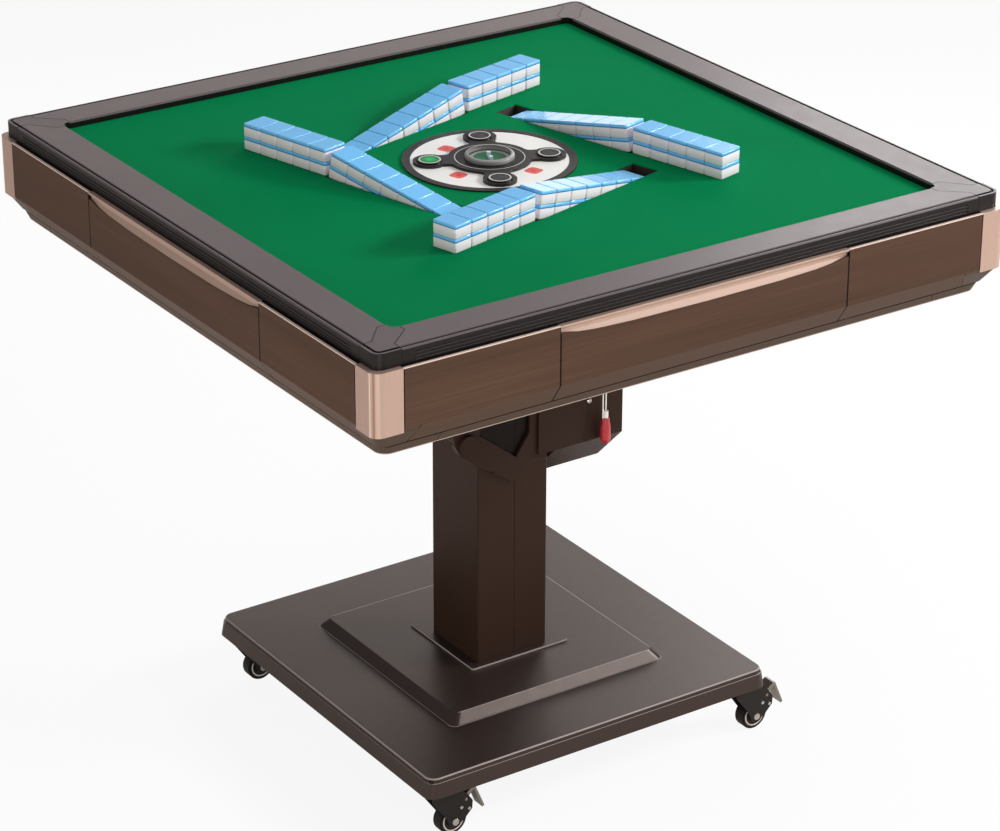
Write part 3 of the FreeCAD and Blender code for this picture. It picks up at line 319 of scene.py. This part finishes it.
def bright_metal(name, colour, rough):
    """Plain drawn or plated steel."""
    finish = Finish(name, colour, rough, 1.0)
    finish.give("Base Color", finish.cloud(colour, shade(colour, 0.7), scale=90.0, detail=3.0, share=0.5))
    return finish.uneven(rough, scale=240.0, detail=3.0, spread=0.2)


# Body of the table

# The third colour is the painted shade of seams and gaps between parts
WOOD_BROWN, WOOD_UNDER, SEAM_PAINTED_SHADE = tint(90, 65, 50), tint(80, 63, 52), tint(16, 12, 10)
WOOD_STOPS = [(0.3, tint(69, 50, 39)), (0.5, tint(80, 58, 46)), (0.72, tint(91, 68, 55))]
# The trim strip's colour is its champagne lightened nearly white as a painted highlight
STRIP_TRIM_AND_HIGHLIGHT, STRIP_WIDE, STRIP_DEEP = tint(240, 217, 205), 0.0032, 0.0012
BODY_HALF, PANEL_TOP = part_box("side_panels")[1].x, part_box("side_panels")[1].z
PANEL_KINK, PANEL_SKIN = PANEL_TOP - 0.073, 0.0008
SEAM_SHADE, DRAWER_GAP = 0.0012, 0.0004
DRAWER_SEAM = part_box("drawer_box_1")[1].x + DRAWER_GAP / 2
POST_SEAM = BODY_HALF - 0.0396
FOOT_SEAM, FOOT_LEAN = BODY_HALF - 0.0605, 0.0095 / 0.024
WOOD_DEEP = 0.0001


def painted_seam_shade(finish):
    """1 where shade is painted: in the seams where panels, drawers and posts meet, on the panels' ends and
    where a panel runs in under a post.
    """
    east, north, up = finish.across()
    beside, out = abs(east).least(abs(north)), abs(east).most(abs(north))
    end_face = (out < BODY_HALF - PANEL_SKIN) * (abs(finish.facing("Z")) < 0.15)
    drawer_seam = abs(beside - DRAWER_SEAM) < SEAM_SHADE
    below = (PANEL_KINK - up).most(0.0)
    foot_seam = (abs(beside - FOOT_SEAM - below * FOOT_LEAN) < SEAM_SHADE) * (below > 0.0)
    return any_of((end_face, drawer_seam, foot_seam, beside > POST_SEAM))


def panel_wood():
    """Dark foil with level grain, painted shade in the seams and on the top ledge, and a champagne line
    along the top edge, lightened as a painted highlight.
    """
    finish = Finish("panel_wood", WOOD_BROWN, 0.45, Specular_IOR_Level=0.12)
    east, north, up = finish.across()
    along, out = east + north, abs(east).most(abs(north))
    fibre = finish.noise(1.0, 6.0, rough=0.6, at=finish.vector(along * 5.0, 0.0, up * 300.0))
    band = finish.noise(1.0, 3.0, rough=0.5, at=finish.vector(along * 1.6, 3.0, up * 34.0))
    figure = finish.node("ShaderNodeValToRGB", {"stops": WOOD_STOPS}, {0: fibre * 0.45 + band * 0.55})
    ledge = up > PANEL_TOP - STRIP_DEEP
    strip = ledge * (out > BODY_HALF - STRIP_WIDE)
    under = finish.smooth(finish.facing("Z"), -0.2, -0.5)
    face = finish.mix(under * 0.5, figure, WOOD_UNDER)
    # Painted shade: near black in the seams, on the panel ends in the gaps and on the top ledge inside the
    # trim line
    face = finish.mix(painted_seam_shade(finish).most(ledge), face, SEAM_PAINTED_SHADE)
    # The trim line carries both its champagne colour and a painted highlight
    finish.give("Base Color", finish.mix(strip, face, STRIP_TRIM_AND_HIGHLIGHT))
    finish.give("Metallic", strip * 0.4)
    finish.give("Roughness", 0.4 + fibre * 0.14)
    return finish.bump(fibre, WOOD_DEEP, strength=0.12)


CHAMPAGNE, CHAMPAGNE_DARK = tint(196, 168, 154), tint(168, 139, 125)
# A painted dark reflection and a painted highlight for the posts' rounded corners
POST_PAINTED_DARK_REFLECTION, POST_PAINTED_HIGHLIGHT = tint(132, 100, 86), tint(252, 232, 220)
BRUSH_DEEP, PLATING_EDGE = 0.00003, 0.0008


def champagne_metal():
    """Brushed champagne plating, with a painted highlight and a painted dark reflection where a post turns
    its corner.
    """
    finish = Finish("champagne", CHAMPAGNE, 0.34, 0.45)
    east, north, up = finish.across()
    lines = finish.noise(1.0, 3.0, rough=0.6, at=finish.vector(east * 1400.0, north * 1400.0, up * 5.0))
    # Painted reflection: by the way the surface faces, a bright line and a dark band are painted where a
    # post turns its corner
    turned = abs(finish.facing("X"))
    bright = finish.smooth(abs(turned - 0.965), 0.03, 0.0)
    dark = finish.smooth(abs(turned - 0.8), 0.13, 0.0)
    plate = finish.mix(lines * 0.4, CHAMPAGNE, CHAMPAGNE_DARK)
    plate = finish.mix(dark * 0.75, plate, POST_PAINTED_DARK_REFLECTION)
    finish.give("Base Color", finish.mix(bright * 0.8, plate, POST_PAINTED_HIGHLIGHT))
    finish.give("Roughness", 0.26 + lines * 0.16)
    return finish.bump(lines, BRUSH_DEEP, strength=0.15, edge=PLATING_EDGE)


TRAY_BROWN, TRAY_PALE, TRAY_DARK = tint(72, 56, 46), tint(74, 58, 47), tint(60, 46, 38)
# A painted highlight for the tray's lowest edge, and that edge's width
TRAY_PAINTED_HIGHLIGHT, TRAY_EDGE = tint(176, 158, 148), 0.0008
TRAY_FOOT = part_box("bottom_tray")[0].z


def tray_plastic():
    """Dark brown bottom band, with a painted highlight along its lowest edge."""
    finish = Finish("tray_plastic", TRAY_BROWN, 0.46, Specular_IOR_Level=0.2)
    # Painted highlight: a light line along the lowest outer edge
    lowest = finish.smooth(finish.across()[2], TRAY_FOOT + TRAY_EDGE * 2, TRAY_FOOT + TRAY_EDGE)
    edge = lowest * (finish.facing("Z") > -0.9)
    body = finish.cloud(TRAY_PALE, TRAY_DARK, scale=12.0, detail=3.0, share=0.5)
    finish.give("Base Color", finish.mix(edge, body, TRAY_PAINTED_HIGHLIGHT))
    finish.uneven(0.42, scale=60.0, detail=3.0, spread=0.1)
    return spark_texture(finish)


# Rim, felt and tiles

RIM_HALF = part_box("top_rails")[1].x
# The two bends of the seam: along the rail from its middle, then out from the table's middle
SEAM_INNER = (RIM_HALF - 0.064, RIM_HALF - 0.042)
SEAM_OUTER = (RIM_HALF - 0.034, RIM_HALF - 0.016)
SEAM_HALF = 0.0008


def zigzag_seam(finish):
    """1 along the bent seam between a rail and its corner piece."""
    east, north, _ = finish.across()
    along, out = abs(east).least(abs(north)), abs(east).most(abs(north))
    (near, first), (far, last) = SEAM_INNER, SEAM_OUTER
    length = math.hypot(far - near, last - first)
    aside = (along - near) * ((last - first) / length) - (out - first) * ((far - near) / length)
    slant = (abs(aside) < SEAM_HALF) * out.between(first, last)
    inner = (abs(along - near) < SEAM_HALF) * (out < first)
    outer = (abs(along - far) < SEAM_HALF) * (out > last)
    return any_of((slant, inner, outer))


RAIL_GREY, CORNER_GREY = tint(106, 95, 96), tint(102, 91, 92)
# The lip's own near black, and painted shade for the seam between rail and corner piece
RAIL_LIP, RAIL_SEAM_SHADE = tint(15, 11, 11), tint(24, 19, 19)
RAIL_GRAIN, RAIL_DEEP = 1500.0, 0.0001


def rail_plastic(name, grey):
    """The rim's grey top with its darker lip and dark edge below."""
    finish = Finish(name, grey, 0.36, Specular_IOR_Level=0.28)
    top = finish.smooth(finish.facing("Z"), 0.3, 0.9)
    face = finish.cloud(shade(grey, 0.9), shade(grey, 1.06), scale=9.0, detail=3.0)
    # Painted shade: a dark line along the bent seam between rail and corner piece
    face = finish.mix(zigzag_seam(finish) * 0.8, face, RAIL_SEAM_SHADE)
    finish.give("Base Color", finish.mix(top, RAIL_LIP, face))
    finish.uneven(0.37, scale=40.0, detail=3.0, spread=0.12)
    return finish.bump(finish.noise(RAIL_GRAIN, 2.0), RAIL_DEEP, strength=0.35)


FELT_GREEN, FIBRE_GREEN = tint(0, 118, 70), tint(0, 90, 50)
NAP_GREEN, NAP_PALE = tint(0, 122, 70), tint(0, 136, 82)
FIBRE_GRAIN, FIBRE_DEEP = 1500.0, 0.0005


def green_felt():
    """Close-cropped felt: short fibre over a slow cloud of nap."""
    finish = Finish("green_felt", FELT_GREEN, 0.9, Specular_IOR_Level=0.03)
    fibre = finish.noise(FIBRE_GRAIN, 4.0, rough=0.7)
    nap = finish.cloud(NAP_GREEN, NAP_PALE, scale=4.0, detail=3.0)
    finish.give("Base Color", finish.mix(fibre * 0.3, nap, FIBRE_GREEN))
    return finish.bump(fibre, FIBRE_DEEP, strength=0.5)


def tile_layer(name, colour, deeper):
    """One layer of a tile: glossy resin with a faint cloud."""
    finish = Finish(name, colour, 0.24, Coat_Weight=0.25)
    return finish.give("Base Color", finish.cloud(colour, deeper, scale=60.0, detail=2.0, share=0.6))


# Console

DISC_WHITE, DISC_PALE, DISC_GREY = tint(250, 247, 243), tint(252, 250, 246), tint(242, 239, 234)
MARK_RED, MARK_DEEP_RED, MARK_CORE = tint(232, 92, 84), tint(222, 52, 50), 0.012
MARK_OUT, MARK_HALF = 0.066, 0.0098
# Where the squares stand round the console, in degrees
MARK_TURNS = (111.0, -69.0, -159.0)


def console_disc():
    """Pale printed deck of the console with plain red squares between the arms."""
    finish = Finish("console_disc", DISC_WHITE, 0.3, Coat_Weight=0.15)
    east, north, _ = finish.across()
    face = finish.cloud(DISC_PALE, DISC_GREY, scale=25.0, detail=2.0, share=0.5)
    for degrees in MARK_TURNS:
        turn = math.radians(degrees)
        aside, out = math.cos(turn), math.sin(turn)
        along = east * aside + north * out - MARK_OUT
        beside = north * aside - east * out
        square = (along * (1 / MARK_HALF)) ** 4.0 + (beside * (1 / MARK_HALF)) ** 4.0
        face = finish.mix(square < 1.0, face, MARK_RED)
        face = finish.mix(square < MARK_CORE, face, MARK_DEEP_RED)
    return finish.give("Base Color", face)


HUB_BROWN, HUB_DARK, HUB_PALE = tint(36, 32, 30), tint(34, 30, 28), tint(46, 41, 39)
HUB_BLACK, HUB_LINE = tint(9, 8, 8), tint(206, 200, 196)
HUB_BAND, HUB_CIRCLE = (0.0310, 0.0425), (0.0430, 0.0441)


def console_arms():
    """Dark hub and arms with a black band and a thin pale circle."""
    finish = Finish("console_arms", HUB_BROWN, 0.34, Specular_IOR_Level=0.25)
    radius = finish.radius()
    face = finish.cloud(HUB_DARK, HUB_PALE, scale=30.0, detail=3.0)
    face = finish.mix(radius.between(*HUB_BAND), face, HUB_BLACK)
    return finish.give("Base Color", finish.mix(radius.between(*HUB_CIRCLE), face, HUB_LINE))


LENS_GREEN, LENS_SMOKED = tint(10, 140, 74), tint(48, 45, 44)
BUTTON_PALE, BUTTON_BLACK = tint(224, 220, 217), tint(26, 23, 22)
LENS_ROUND, BUTTON_RING = 0.011, (0.0121, 0.0139)
# The button whose green lens carries a painted glow
LIT_BUTTON = 2


def button_cap(number):
    """A console button: black rim, pale ring and a smoked lens with a painted highlight in its middle, or a
    green lens with a painted glow for its lamp.
    """
    middle = box_middle(f"console_button_{number}")
    lens, glow = (LENS_GREEN, 2.2) if number == LIT_BUTTON else (LENS_SMOKED, 1.5)
    finish = Finish(f"button_{number}", lens, 0.2, Coat_Weight=0.3)
    radius = finish.radius(middle.x, middle.y)
    # Painted light: the lens is painted lighter towards its middle, a glow on the lit green lens and a
    # highlight on the smoked ones
    face = finish.mix(finish.smooth(radius, 0.0, LENS_ROUND), shade(lens, glow), lens)
    face = finish.mix(radius.between(*BUTTON_RING), face, BUTTON_PALE)
    return finish.give("Base Color", finish.mix(radius > BUTTON_RING[1], face, BUTTON_BLACK))


PLATE_GREEN, PLATE_DARK, PLATE_PALE = tint(4, 96, 58), tint(0, 92, 54), tint(2, 110, 66)
RING_GREY, DICE_PALE = tint(150, 146, 145), tint(214, 222, 236)
PLATE_ROUND, PLATE_TOP = 0.0208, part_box("dice_plate")[0].z + 0.0012


def dice_green():
    """Green dice plate in a grey ring; the dice are pale."""
    finish = Finish("dice_green", PLATE_GREEN, 0.6, Specular_IOR_Level=0.1)
    cloth = finish.cloud(PLATE_DARK, PLATE_PALE, scale=400.0, detail=2.0)
    plate = finish.mix(finish.radius() > PLATE_ROUND, cloth, RING_GREY)
    return finish.give("Base Color", finish.mix(finish.across()[2] > PLATE_TOP, plate, DICE_PALE))


CAP_GREY, CAP_CLEAR = tint(168, 164, 163), tint(225, 235, 230)
CAP_RIM = (0.0262, 0.0270)


def clear_cap():
    """Clear plastic cap over the dice, with a moulded grey rim."""
    finish = Finish("clear_cap", CAP_GREY, 0.1)
    rim = finish.smooth(finish.radius(), *CAP_RIM)
    finish.give("Base Color", finish.mix(rim, CAP_CLEAR, RING_GREY))
    finish.give("Alpha", 0.03 + rim * 0.95)
    return finish.give("Roughness", 0.06 + rim * 0.25)


# Casters and release grip

WHEEL_BLACK, TREAD_DARK, TREAD_PALE = tint(22, 19, 18), tint(16, 13, 12), tint(26, 22, 21)
WHEEL_BRIGHT, WHEEL_RING = tint(226, 218, 212), (0.0134, 0.0152)


def wheel_rubber(number):
    """Black wheel with a bright ring on each flank."""
    middle = box_middle(f"caster_wheel_{number}")
    finish = Finish(f"wheel_{number}", WHEEL_BLACK, 0.5, Specular_IOR_Level=0.3)
    east, _, up = finish.across()
    radius = finish.distance(east - middle.x, up - middle.z)
    ring = radius.between(*WHEEL_RING) * (abs(finish.facing("Y")) > 0.8)
    tread = finish.cloud(TREAD_DARK, TREAD_PALE, scale=160.0, detail=3.0)
    finish.give("Base Color", finish.mix(ring, tread, WHEEL_BRIGHT))
    finish.give("Metallic", ring * 0.5)
    return finish.give("Roughness", 0.5 - ring * 0.22)


FORK_BLACK, FORK_PALE, FORK_DARK = tint(20, 16, 15), tint(22, 17, 16), tint(12, 9, 9)
RIVET_STEEL, FORK_FACE = tint(190, 186, 181), 0.01295
# Ahead of the axle, above it, and the radius of each bright head
RIVETS = ((0.0, 0.0, 0.0050), (0.0090, 0.0180, 0.0026), (0.0204, 0.0132, 0.0026))
FORK_GRAIN, FORK_DEEP = 900.0, 0.0001


def fork_paint(number):
    """Black stamped fork with bright axle ends and rivets."""
    axle = box_middle(f"caster_wheel_{number}")
    middle = box_middle(f"caster_fork_{number}")
    finish = Finish(f"fork_{number}", FORK_BLACK, 0.36, Specular_IOR_Level=0.3)
    east, north, up = finish.across()
    heads = any_of(finish.distance(east - (axle.x + aside), up - (axle.z + above)) < size
                   for aside, above, size in RIVETS)
    heads = heads * (abs(north - middle.y) > FORK_FACE)
    black = finish.cloud(FORK_PALE, FORK_DARK, scale=60.0, detail=3.0, share=0.5)
    finish.give("Base Color", finish.mix(heads, black, RIVET_STEEL))
    finish.give("Metallic", heads * 0.95)
    return finish.bump(finish.noise(FORK_GRAIN, 2.0), FORK_DEEP, strength=0.3)


GRIP_RED, GRIP_DARK, GRIP_PALE = tint(182, 38, 50), tint(172, 32, 44), tint(192, 44, 56)
WIRE_STEEL, GRIP_TOP = tint(240, 237, 233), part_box("release_grip")[0].z + 0.034


def release_finish():
    """Red grip below, bright ferrule and wires above."""
    finish = Finish("release_grip", GRIP_RED, 0.3, Coat_Weight=0.25)
    steel = finish.across()[2] > GRIP_TOP
    red = finish.cloud(GRIP_DARK, GRIP_PALE, scale=80.0, detail=2.0)
    finish.give("Base Color", finish.mix(steel, red, WIRE_STEEL))
    return finish.give("Metallic", steel * 0.6)


# Finishes on the CAD nodes


def dress(finish, *names):
    """Gives CAD nodes a finish."""
    for name in names:
        mesh = nodes[name].data
        mesh.materials.clear()
        mesh.materials.append(finish.material)


def each(stem):
    """The names of a node that stands on all four sides."""
    return [f"{stem}_{side}" for side in SIDES]


column_paint = column_coat()
black_plastic = moulded("black_plastic", tint(22, 20, 20), 0.5)
grey_plastic = moulded("grey_plastic", tint(140, 140, 140), 0.5)
board_plastic = moulded("board_edge", tint(60, 50, 42), 0.7)
ring_plastic = moulded("console_ring", tint(38, 35, 33), 0.4, Specular_IOR_Level=0.3)
pedal_steel = bright_metal("pedal_steel", tint(150, 144, 136), 0.42)
screw_steel = bright_metal("screw_steel", tint(206, 203, 199), 0.26)
white_layer = tile_layer("tile_white", tint(243, 235, 240), tint(234, 226, 232))
blue_layer = tile_layer("tile_blue", tint(124, 202, 254), tint(104, 186, 248))
stripe_layer = tile_layer("tile_stripe", tint(66, 150, 216), tint(54, 136, 204))

dress(base_coat(), "base_cover", "base_plate", "column_flange")
dress(channel_paint(), "column_left_channel", "column_right_channel")
dress(column_paint, "head_cheeks", "tilt_frame", "machine_pan", "pivot_pin")
dress(black_plastic, "lane_troughs", "shuffle_motor", *each("ramp_flap"))
dress(pedal_steel, "caster_plates", *each("caster_pedal"))
dress(tray_plastic(), "bottom_tray", "bottom_corners")
dress(rail_plastic("rail_plastic", RAIL_GREY), "top_rails")
dress(rail_plastic("corner_plastic", CORNER_GREY), "top_corners")
dress(champagne_metal(), "corner_posts", *each("drawer_pull"))
dress(panel_wood(), "side_panels", *each("drawer_box"))
dress(board_plastic, "play_board")
dress(ring_plastic, "console_bezel")
dress(console_disc(), "console_body")
dress(console_arms(), "console_hub")
dress(clear_cap(), "console_dome")
dress(dice_green(), "dice_plate")
dress(grey_plastic, "shuffle_disc")
dress(release_finish(), "release_grip")
for side in SIDES:
    dress(button_cap(side), f"console_button_{side}")
    dress(wheel_rubber(side), f"caster_wheel_{side}")
    dress(fork_paint(side), f"caster_fork_{side}")


# Pieces that are finer than the solids


def finish_piece(name, mesh, finishes, body):
    """Turns a bmesh into an object with its finishes, riding on a body."""
    bmesh.ops.recalc_face_normals(mesh, faces=mesh.faces)
    data = bpy.data.meshes.new(name)
    mesh.to_mesh(data)
    mesh.free()
    piece = bpy.data.objects.new(name, data)
    bpy.context.scene.collection.objects.link(piece)
    for finish in finishes:
        data.materials.append(finish.material)
    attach(piece, body)
    return piece


FELT_ROLL, WELD = 0.0006, 1e-6


def lay_felt():
    """The felt: the upper skin of its solid, drawn over the board's edges with a soft roll."""
    mesh = bmesh.new()
    mesh.from_mesh(nodes["felt_sheet"].data)
    bmesh.ops.remove_doubles(mesh, verts=mesh.verts, dist=WELD)
    mesh.normal_update()
    under = [face for face in mesh.faces if face.normal.z < -0.5]
    bmesh.ops.delete(mesh, geom=under, context="FACES")
    rim = [edge for edge in mesh.edges if len(edge.link_faces) == 2
           and abs(edge.link_faces[0].normal.z - edge.link_faces[1].normal.z) > 0.5]
    bmesh.ops.bevel(mesh, geom=rim, offset=FELT_ROLL, segments=2, profile=0.5, affect="EDGES")
    cut = sum(face.calc_area() for face in mesh.faces if face.normal.z > 0.9)
    piece = finish_piece("felt", mesh, [green_felt()], "table")
    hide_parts("felt_sheet")


def close_rings(mesh, rings, layers):
    """Makes a closed skin of rings of points, each band in the layer of the ring that it starts from."""
    mesh.faces.new(list(reversed(rings[0]))).material_index = layers[0]
    mesh.faces.new(rings[-1]).material_index = layers[-1]
    for layer, lower, upper in zip(layers, rings, rings[1:]):
        for index in range(len(lower)):
            after = (index + 1) % len(lower)
            face = mesh.faces.new((lower[index], lower[after], upper[after], upper[index]))
            face.material_index = layer
            face.smooth = True


TILE_WIDE, TILE_LONG, TILE_THICK = 0.02805, 0.0360, 0.01715
TILE_GAP, TILE_LIFT = 0.0003, 0.00005
TILE_EDGE, TILE_CORNER, CORNER_STEPS = 0.0012, 0.0024, 4
TILE_JOINT, JOINT_GROOVE = TILE_THICK * 0.73, 0.0003
LANE_TURN, LANE_OUT = math.radians(14.5), 0.1565
RAMP_TILT = math.radians(10.6)
HINGE_DOWN, HINGE_DEEP, FLAT_START = 0.1105, 0.005, 0.1133
FELT_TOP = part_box("felt_sheet")[1].z
LEVEL_STACKS, RAMP_STACKS, TILES_HIGH = 5, 7, 2
WHITE, BLUE, STRIPE = range(3)


def lane_matrix(side, tilted):
    """From a lane's own frame to the table: turned round the middle, and a ramp tilted at its hinge."""
    turn = Matrix.Rotation(LANE_TURN + (side - 1) * math.tau / len(SIDES), 4, "Z")
    if not tilted:
        return turn
    hinge = Matrix.Translation((-HINGE_DOWN, 0.0, FELT_TOP - HINGE_DEEP))
    return turn @ hinge @ Matrix.Rotation(RAMP_TILT, 4, "Y") @ hinge.inverted()


def stack_places(tilted):
    """Where the middle of each stack is along its lane: up the ramp from its hinge, or level past it."""
    pitch = TILE_WIDE + TILE_GAP
    if tilted:
        first, way, count = -HINGE_DOWN + TILE_GAP * 2 + TILE_WIDE / 2, 1, RAMP_STACKS
    else:
        first, way, count = -FLAT_START - TILE_WIDE / 2, -1, LEVEL_STACKS
    return [first + way * pitch * stack for stack in range(count)]


def tile_outline(inset):
    """A tile's outline drawn in by inset, with round corners, about its own middle."""
    points = []
    radius = TILE_CORNER - inset * 0.5
    for corner, (right, far) in enumerate(((1, 1), (-1, 1), (-1, -1), (1, -1))):
        middle_x = right * (TILE_WIDE / 2 - inset - radius)
        middle_y = far * (TILE_LONG / 2 - inset - radius)
        for step in range(CORNER_STEPS + 1):
            angle = (corner + step / CORNER_STEPS) * math.pi / 2
            points.append((middle_x + radius * math.cos(angle), middle_y + radius * math.sin(angle)))
    return points


def tile_section():
    """Height, inset and layer of each ring of a tile, from its face up to its back."""
    slope = TILE_EDGE * 0.3
    return [(0.0, TILE_EDGE, WHITE), (slope, slope, WHITE), (TILE_EDGE, 0.0, WHITE),
            (TILE_JOINT - JOINT_GROOVE, 0.0, WHITE), (TILE_JOINT, JOINT_GROOVE * 0.7, STRIPE),
            (TILE_JOINT + JOINT_GROOVE, 0.0, STRIPE), (TILE_JOINT + JOINT_GROOVE * 5, 0.0, BLUE),
            (TILE_THICK - TILE_EDGE, 0.0, BLUE), (TILE_THICK - slope, slope, BLUE),
            (TILE_THICK, TILE_EDGE, BLUE)]


def add_tile(mesh, place):
    """One tile: a white face layer, a darker stripe at the joint and a blue back, all edges rounded."""
    rings, layers = [], []
    for height, inset, layer in tile_section():
        rings.append([mesh.verts.new(place @ Vector((x, y, height))) for x, y in tile_outline(inset)])
        layers.append(layer)
    close_rings(mesh, rings, layers)


def tile_wall(name, lanes, tilted, body, node):
    """Stacks of tiles in two layers, all in one piece that rides on a body."""
    mesh = bmesh.new()
    for side in lanes:
        place = lane_matrix(side, tilted)
        for along in stack_places(tilted):
            for layer in range(TILES_HIGH):
                foot = FELT_TOP + TILE_LIFT + (TILE_THICK + TILE_LIFT) * layer
                add_tile(mesh, place @ Matrix.Translation((along, -LANE_OUT, foot)))
    piece = finish_piece(name, mesh, [white_layer, blue_layer, stripe_layer], body)
    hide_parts(node)


# Radius and height up a screw's head and down into its drive, for a head of radius 1
SCREW = ((1.0, 0.0), (1.0, 0.35), (0.86, 0.55), (0.6, 0.66), (0.34, 0.68), (0.3, 0.5))
SCREW_STEPS = 16


def add_screw(mesh, at, facing, size):
    """A pan-head screw with a sunk drive, at a point of a face that looks one way."""
    place = Matrix.Translation(at) @ Vector(facing).to_track_quat("Z", "Y").to_matrix().to_4x4()
    turns = [step * math.tau / SCREW_STEPS for step in range(SCREW_STEPS)]
    rings = []
    for radius, height in SCREW:
        points = [Vector((radius * math.cos(turn), radius * math.sin(turn), height)) for turn in turns]
        rings.append([mesh.verts.new(place @ (point * size)) for point in points])
    close_rings(mesh, rings, [0] * len(rings))


BOLT_ASIDE, BOLT_BEHIND, BOLT_UP, BOLT_SIZE = 0.0185, 0.0100, 0.0590, 0.0038
HOUSING_UPS, HOUSING_SIZE = (0.100, 0.130), 0.0032
CHEEK_ALONG, CHEEK_UP, CHEEK_SIZE = 0.061, 0.020, 0.0024


def fix_screws():
    """Small fasteners: the latch bolt beside the grip, two in the housing's end and one in each cheek."""
    frame_low, frame_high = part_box("tilt_frame")
    cheek_low, cheek_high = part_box("head_cheeks")
    grip, grip_foot = box_middle("release_grip"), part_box("release_grip")[0].z
    mesh = bmesh.new()
    bolt = (grip.x - BOLT_ASIDE, grip.y + BOLT_BEHIND, grip_foot + BOLT_UP)
    add_screw(mesh, bolt, (0, -1, 0), BOLT_SIZE)
    for up in HOUSING_UPS:
        end = (frame_high.x, box_middle("tilt_frame").y, frame_low.z + up)
        add_screw(mesh, end, (1, 0, 0), HOUSING_SIZE)
    finish_piece("housing_screws", mesh, [screw_steel], "table")
    mesh = bmesh.new()
    for north, way in ((cheek_low.y, -1), (cheek_high.y, 1)):
        cheek = (cheek_low.x + CHEEK_ALONG, north, cheek_low.z + CHEEK_UP)
        add_screw(mesh, cheek, (0, way, 0), CHEEK_SIZE)
    finish_piece("cheek_screws", mesh, [column_paint], "base")


lay_felt()
tile_wall("level_tiles", SIDES, False, "table", "wall_tiles")
for side in SIDES:
    tile_wall(f"sloped_tiles_{side}", [side], True, f"ramp_{side}", f"ramp_tiles_{side}")
fix_screws()


# Camera, floor and light

CAMERA_AT = Vector((-2.19635, -3.28464, 2.25789))
CAMERA_TURN = (math.radians(65.1068), math.radians(-0.1651), math.radians(-33.8918))
CAMERA_LENS, SENSOR_WIDE = 122.658, 36.0


def add_camera():
    """The camera, at the photograph's viewing angle."""
    data = bpy.data.cameras.new("camera")
    data.sensor_fit = "HORIZONTAL"
    data.sensor_width = SENSOR_WIDE
    data.lens = CAMERA_LENS
    camera = bpy.data.objects.new("camera", data)
    camera.location = CAMERA_AT
    camera.rotation_euler = CAMERA_TURN
    bpy.context.scene.collection.objects.link(camera)
    bpy.context.scene.camera = camera


def add_softbox(name, at, aim, size, power, colour=(1.0, 1.0, 1.0)):
    """A soft rectangular lamp that looks at a point."""
    data = bpy.data.lights.new(name, "AREA")
    data.shape = "RECTANGLE"
    data.size, data.size_y = size
    data.energy, data.color = power, colour
    lamp = bpy.data.objects.new(name, data)
    lamp.location = at
    lamp.rotation_euler = (Vector(aim) - Vector(at)).to_track_quat("-Z", "Y").to_euler()
    bpy.context.scene.collection.objects.link(lamp)


PALE_FLOOR, WARM_FLOOR = (0.8, 0.8, 0.8, 1.0), (0.8, 0.71, 0.64, 1.0)
FLOOR_HALF, FLOOR_SHOWN, FLOOR_MIRRORED = 30.0, 0.9, 0.14


def add_floor():
    """A wide pale floor: nearly white to the camera, with the table's shadow, and warm to the table."""
    mesh = bmesh.new()
    bmesh.ops.create_grid(mesh, x_segments=1, y_segments=1, size=FLOOR_HALF)
    data = bpy.data.meshes.new("floor")
    mesh.to_mesh(data)
    mesh.free()
    floor = bpy.data.objects.new("floor", data)
    bpy.context.scene.collection.objects.link(floor)
    finish = Finish("floor", PALE_FLOOR, 0.9)
    shown = finish.seen("Camera", "Transmission")
    finish.give("Base Color", finish.mix(shown, WARM_FLOOR, PALE_FLOOR))
    glow = finish.node("ShaderNodeEmission", {}, {"Strength": 1.0})
    share = (shown * FLOOR_SHOWN).most(finish.seen("Glossy") * FLOOR_MIRRORED)
    real = Flow(finish, finish.shader.outputs[0])
    blend = finish.node("ShaderNodeMixShader", {}, {0: share, 1: real, 2: glow})
    finish.set(finish.kept("OUTPUT_MATERIAL"), 0, blend)
    data.materials.append(finish.material)


ROOM_LIGHT = 0.22


def add_world():
    """White to the camera, and a soft grey room to everything else."""
    world = bpy.data.worlds.new("studio")
    bpy.context.scene.world = world
    world.use_nodes = True
    room = Shading(world.node_tree)
    background = room.kept("BACKGROUND")
    room.set(background, "Color", (1.0, 1.0, 1.0, 1.0))
    room.set(background, "Strength", room.seen("Camera", "Transmission") * (1 - ROOM_LIGHT) + ROOM_LIGHT)


add_camera()
add_floor()
add_world()
TOP_MIDDLE = (0.0, 0.0, 0.75)
ROSE_LIGHT, CREAM_LIGHT = (1.0, 0.9, 0.86), (1.0, 0.94, 0.86)
add_softbox("key", at=(2.9, -1.6, 2.1), aim=TOP_MIDDLE, size=(0.7, 0.7), power=86.0)
add_softbox("over", at=(0.0, 0.3, 3.4), aim=TOP_MIDDLE, size=(2.4, 2.4), power=22.0)
add_softbox("edge", at=(2.1, -2.6, 2.45), aim=(0.0, -0.3, 0.3), size=(1.2, 0.3), power=40.0)
add_softbox("sheen", at=(2.5, 1.5, 1.95), aim=(0.3, 0.0, 0.7), size=(1.5, 1.2), power=26.0)
add_softbox("low", at=(1.2, 2.1, 0.95), aim=(-0.1, 0.0, 0.2), size=(2.0, 0.7), power=8.5,
            colour=ROSE_LIGHT)
add_softbox("left", at=(-3.2, -0.4, 0.9), aim=(0.0, 0.0, 0.6), size=(1.6, 1.6), power=24.0,
            colour=CREAM_LIGHT)
add_softbox("front", at=(-1.45, -2.1, 0.7), aim=(-0.3, -0.3, 0.6), size=(0.9, 0.6), power=19.0)
bpy.context.scene.view_settings.view_transform = "Standard"
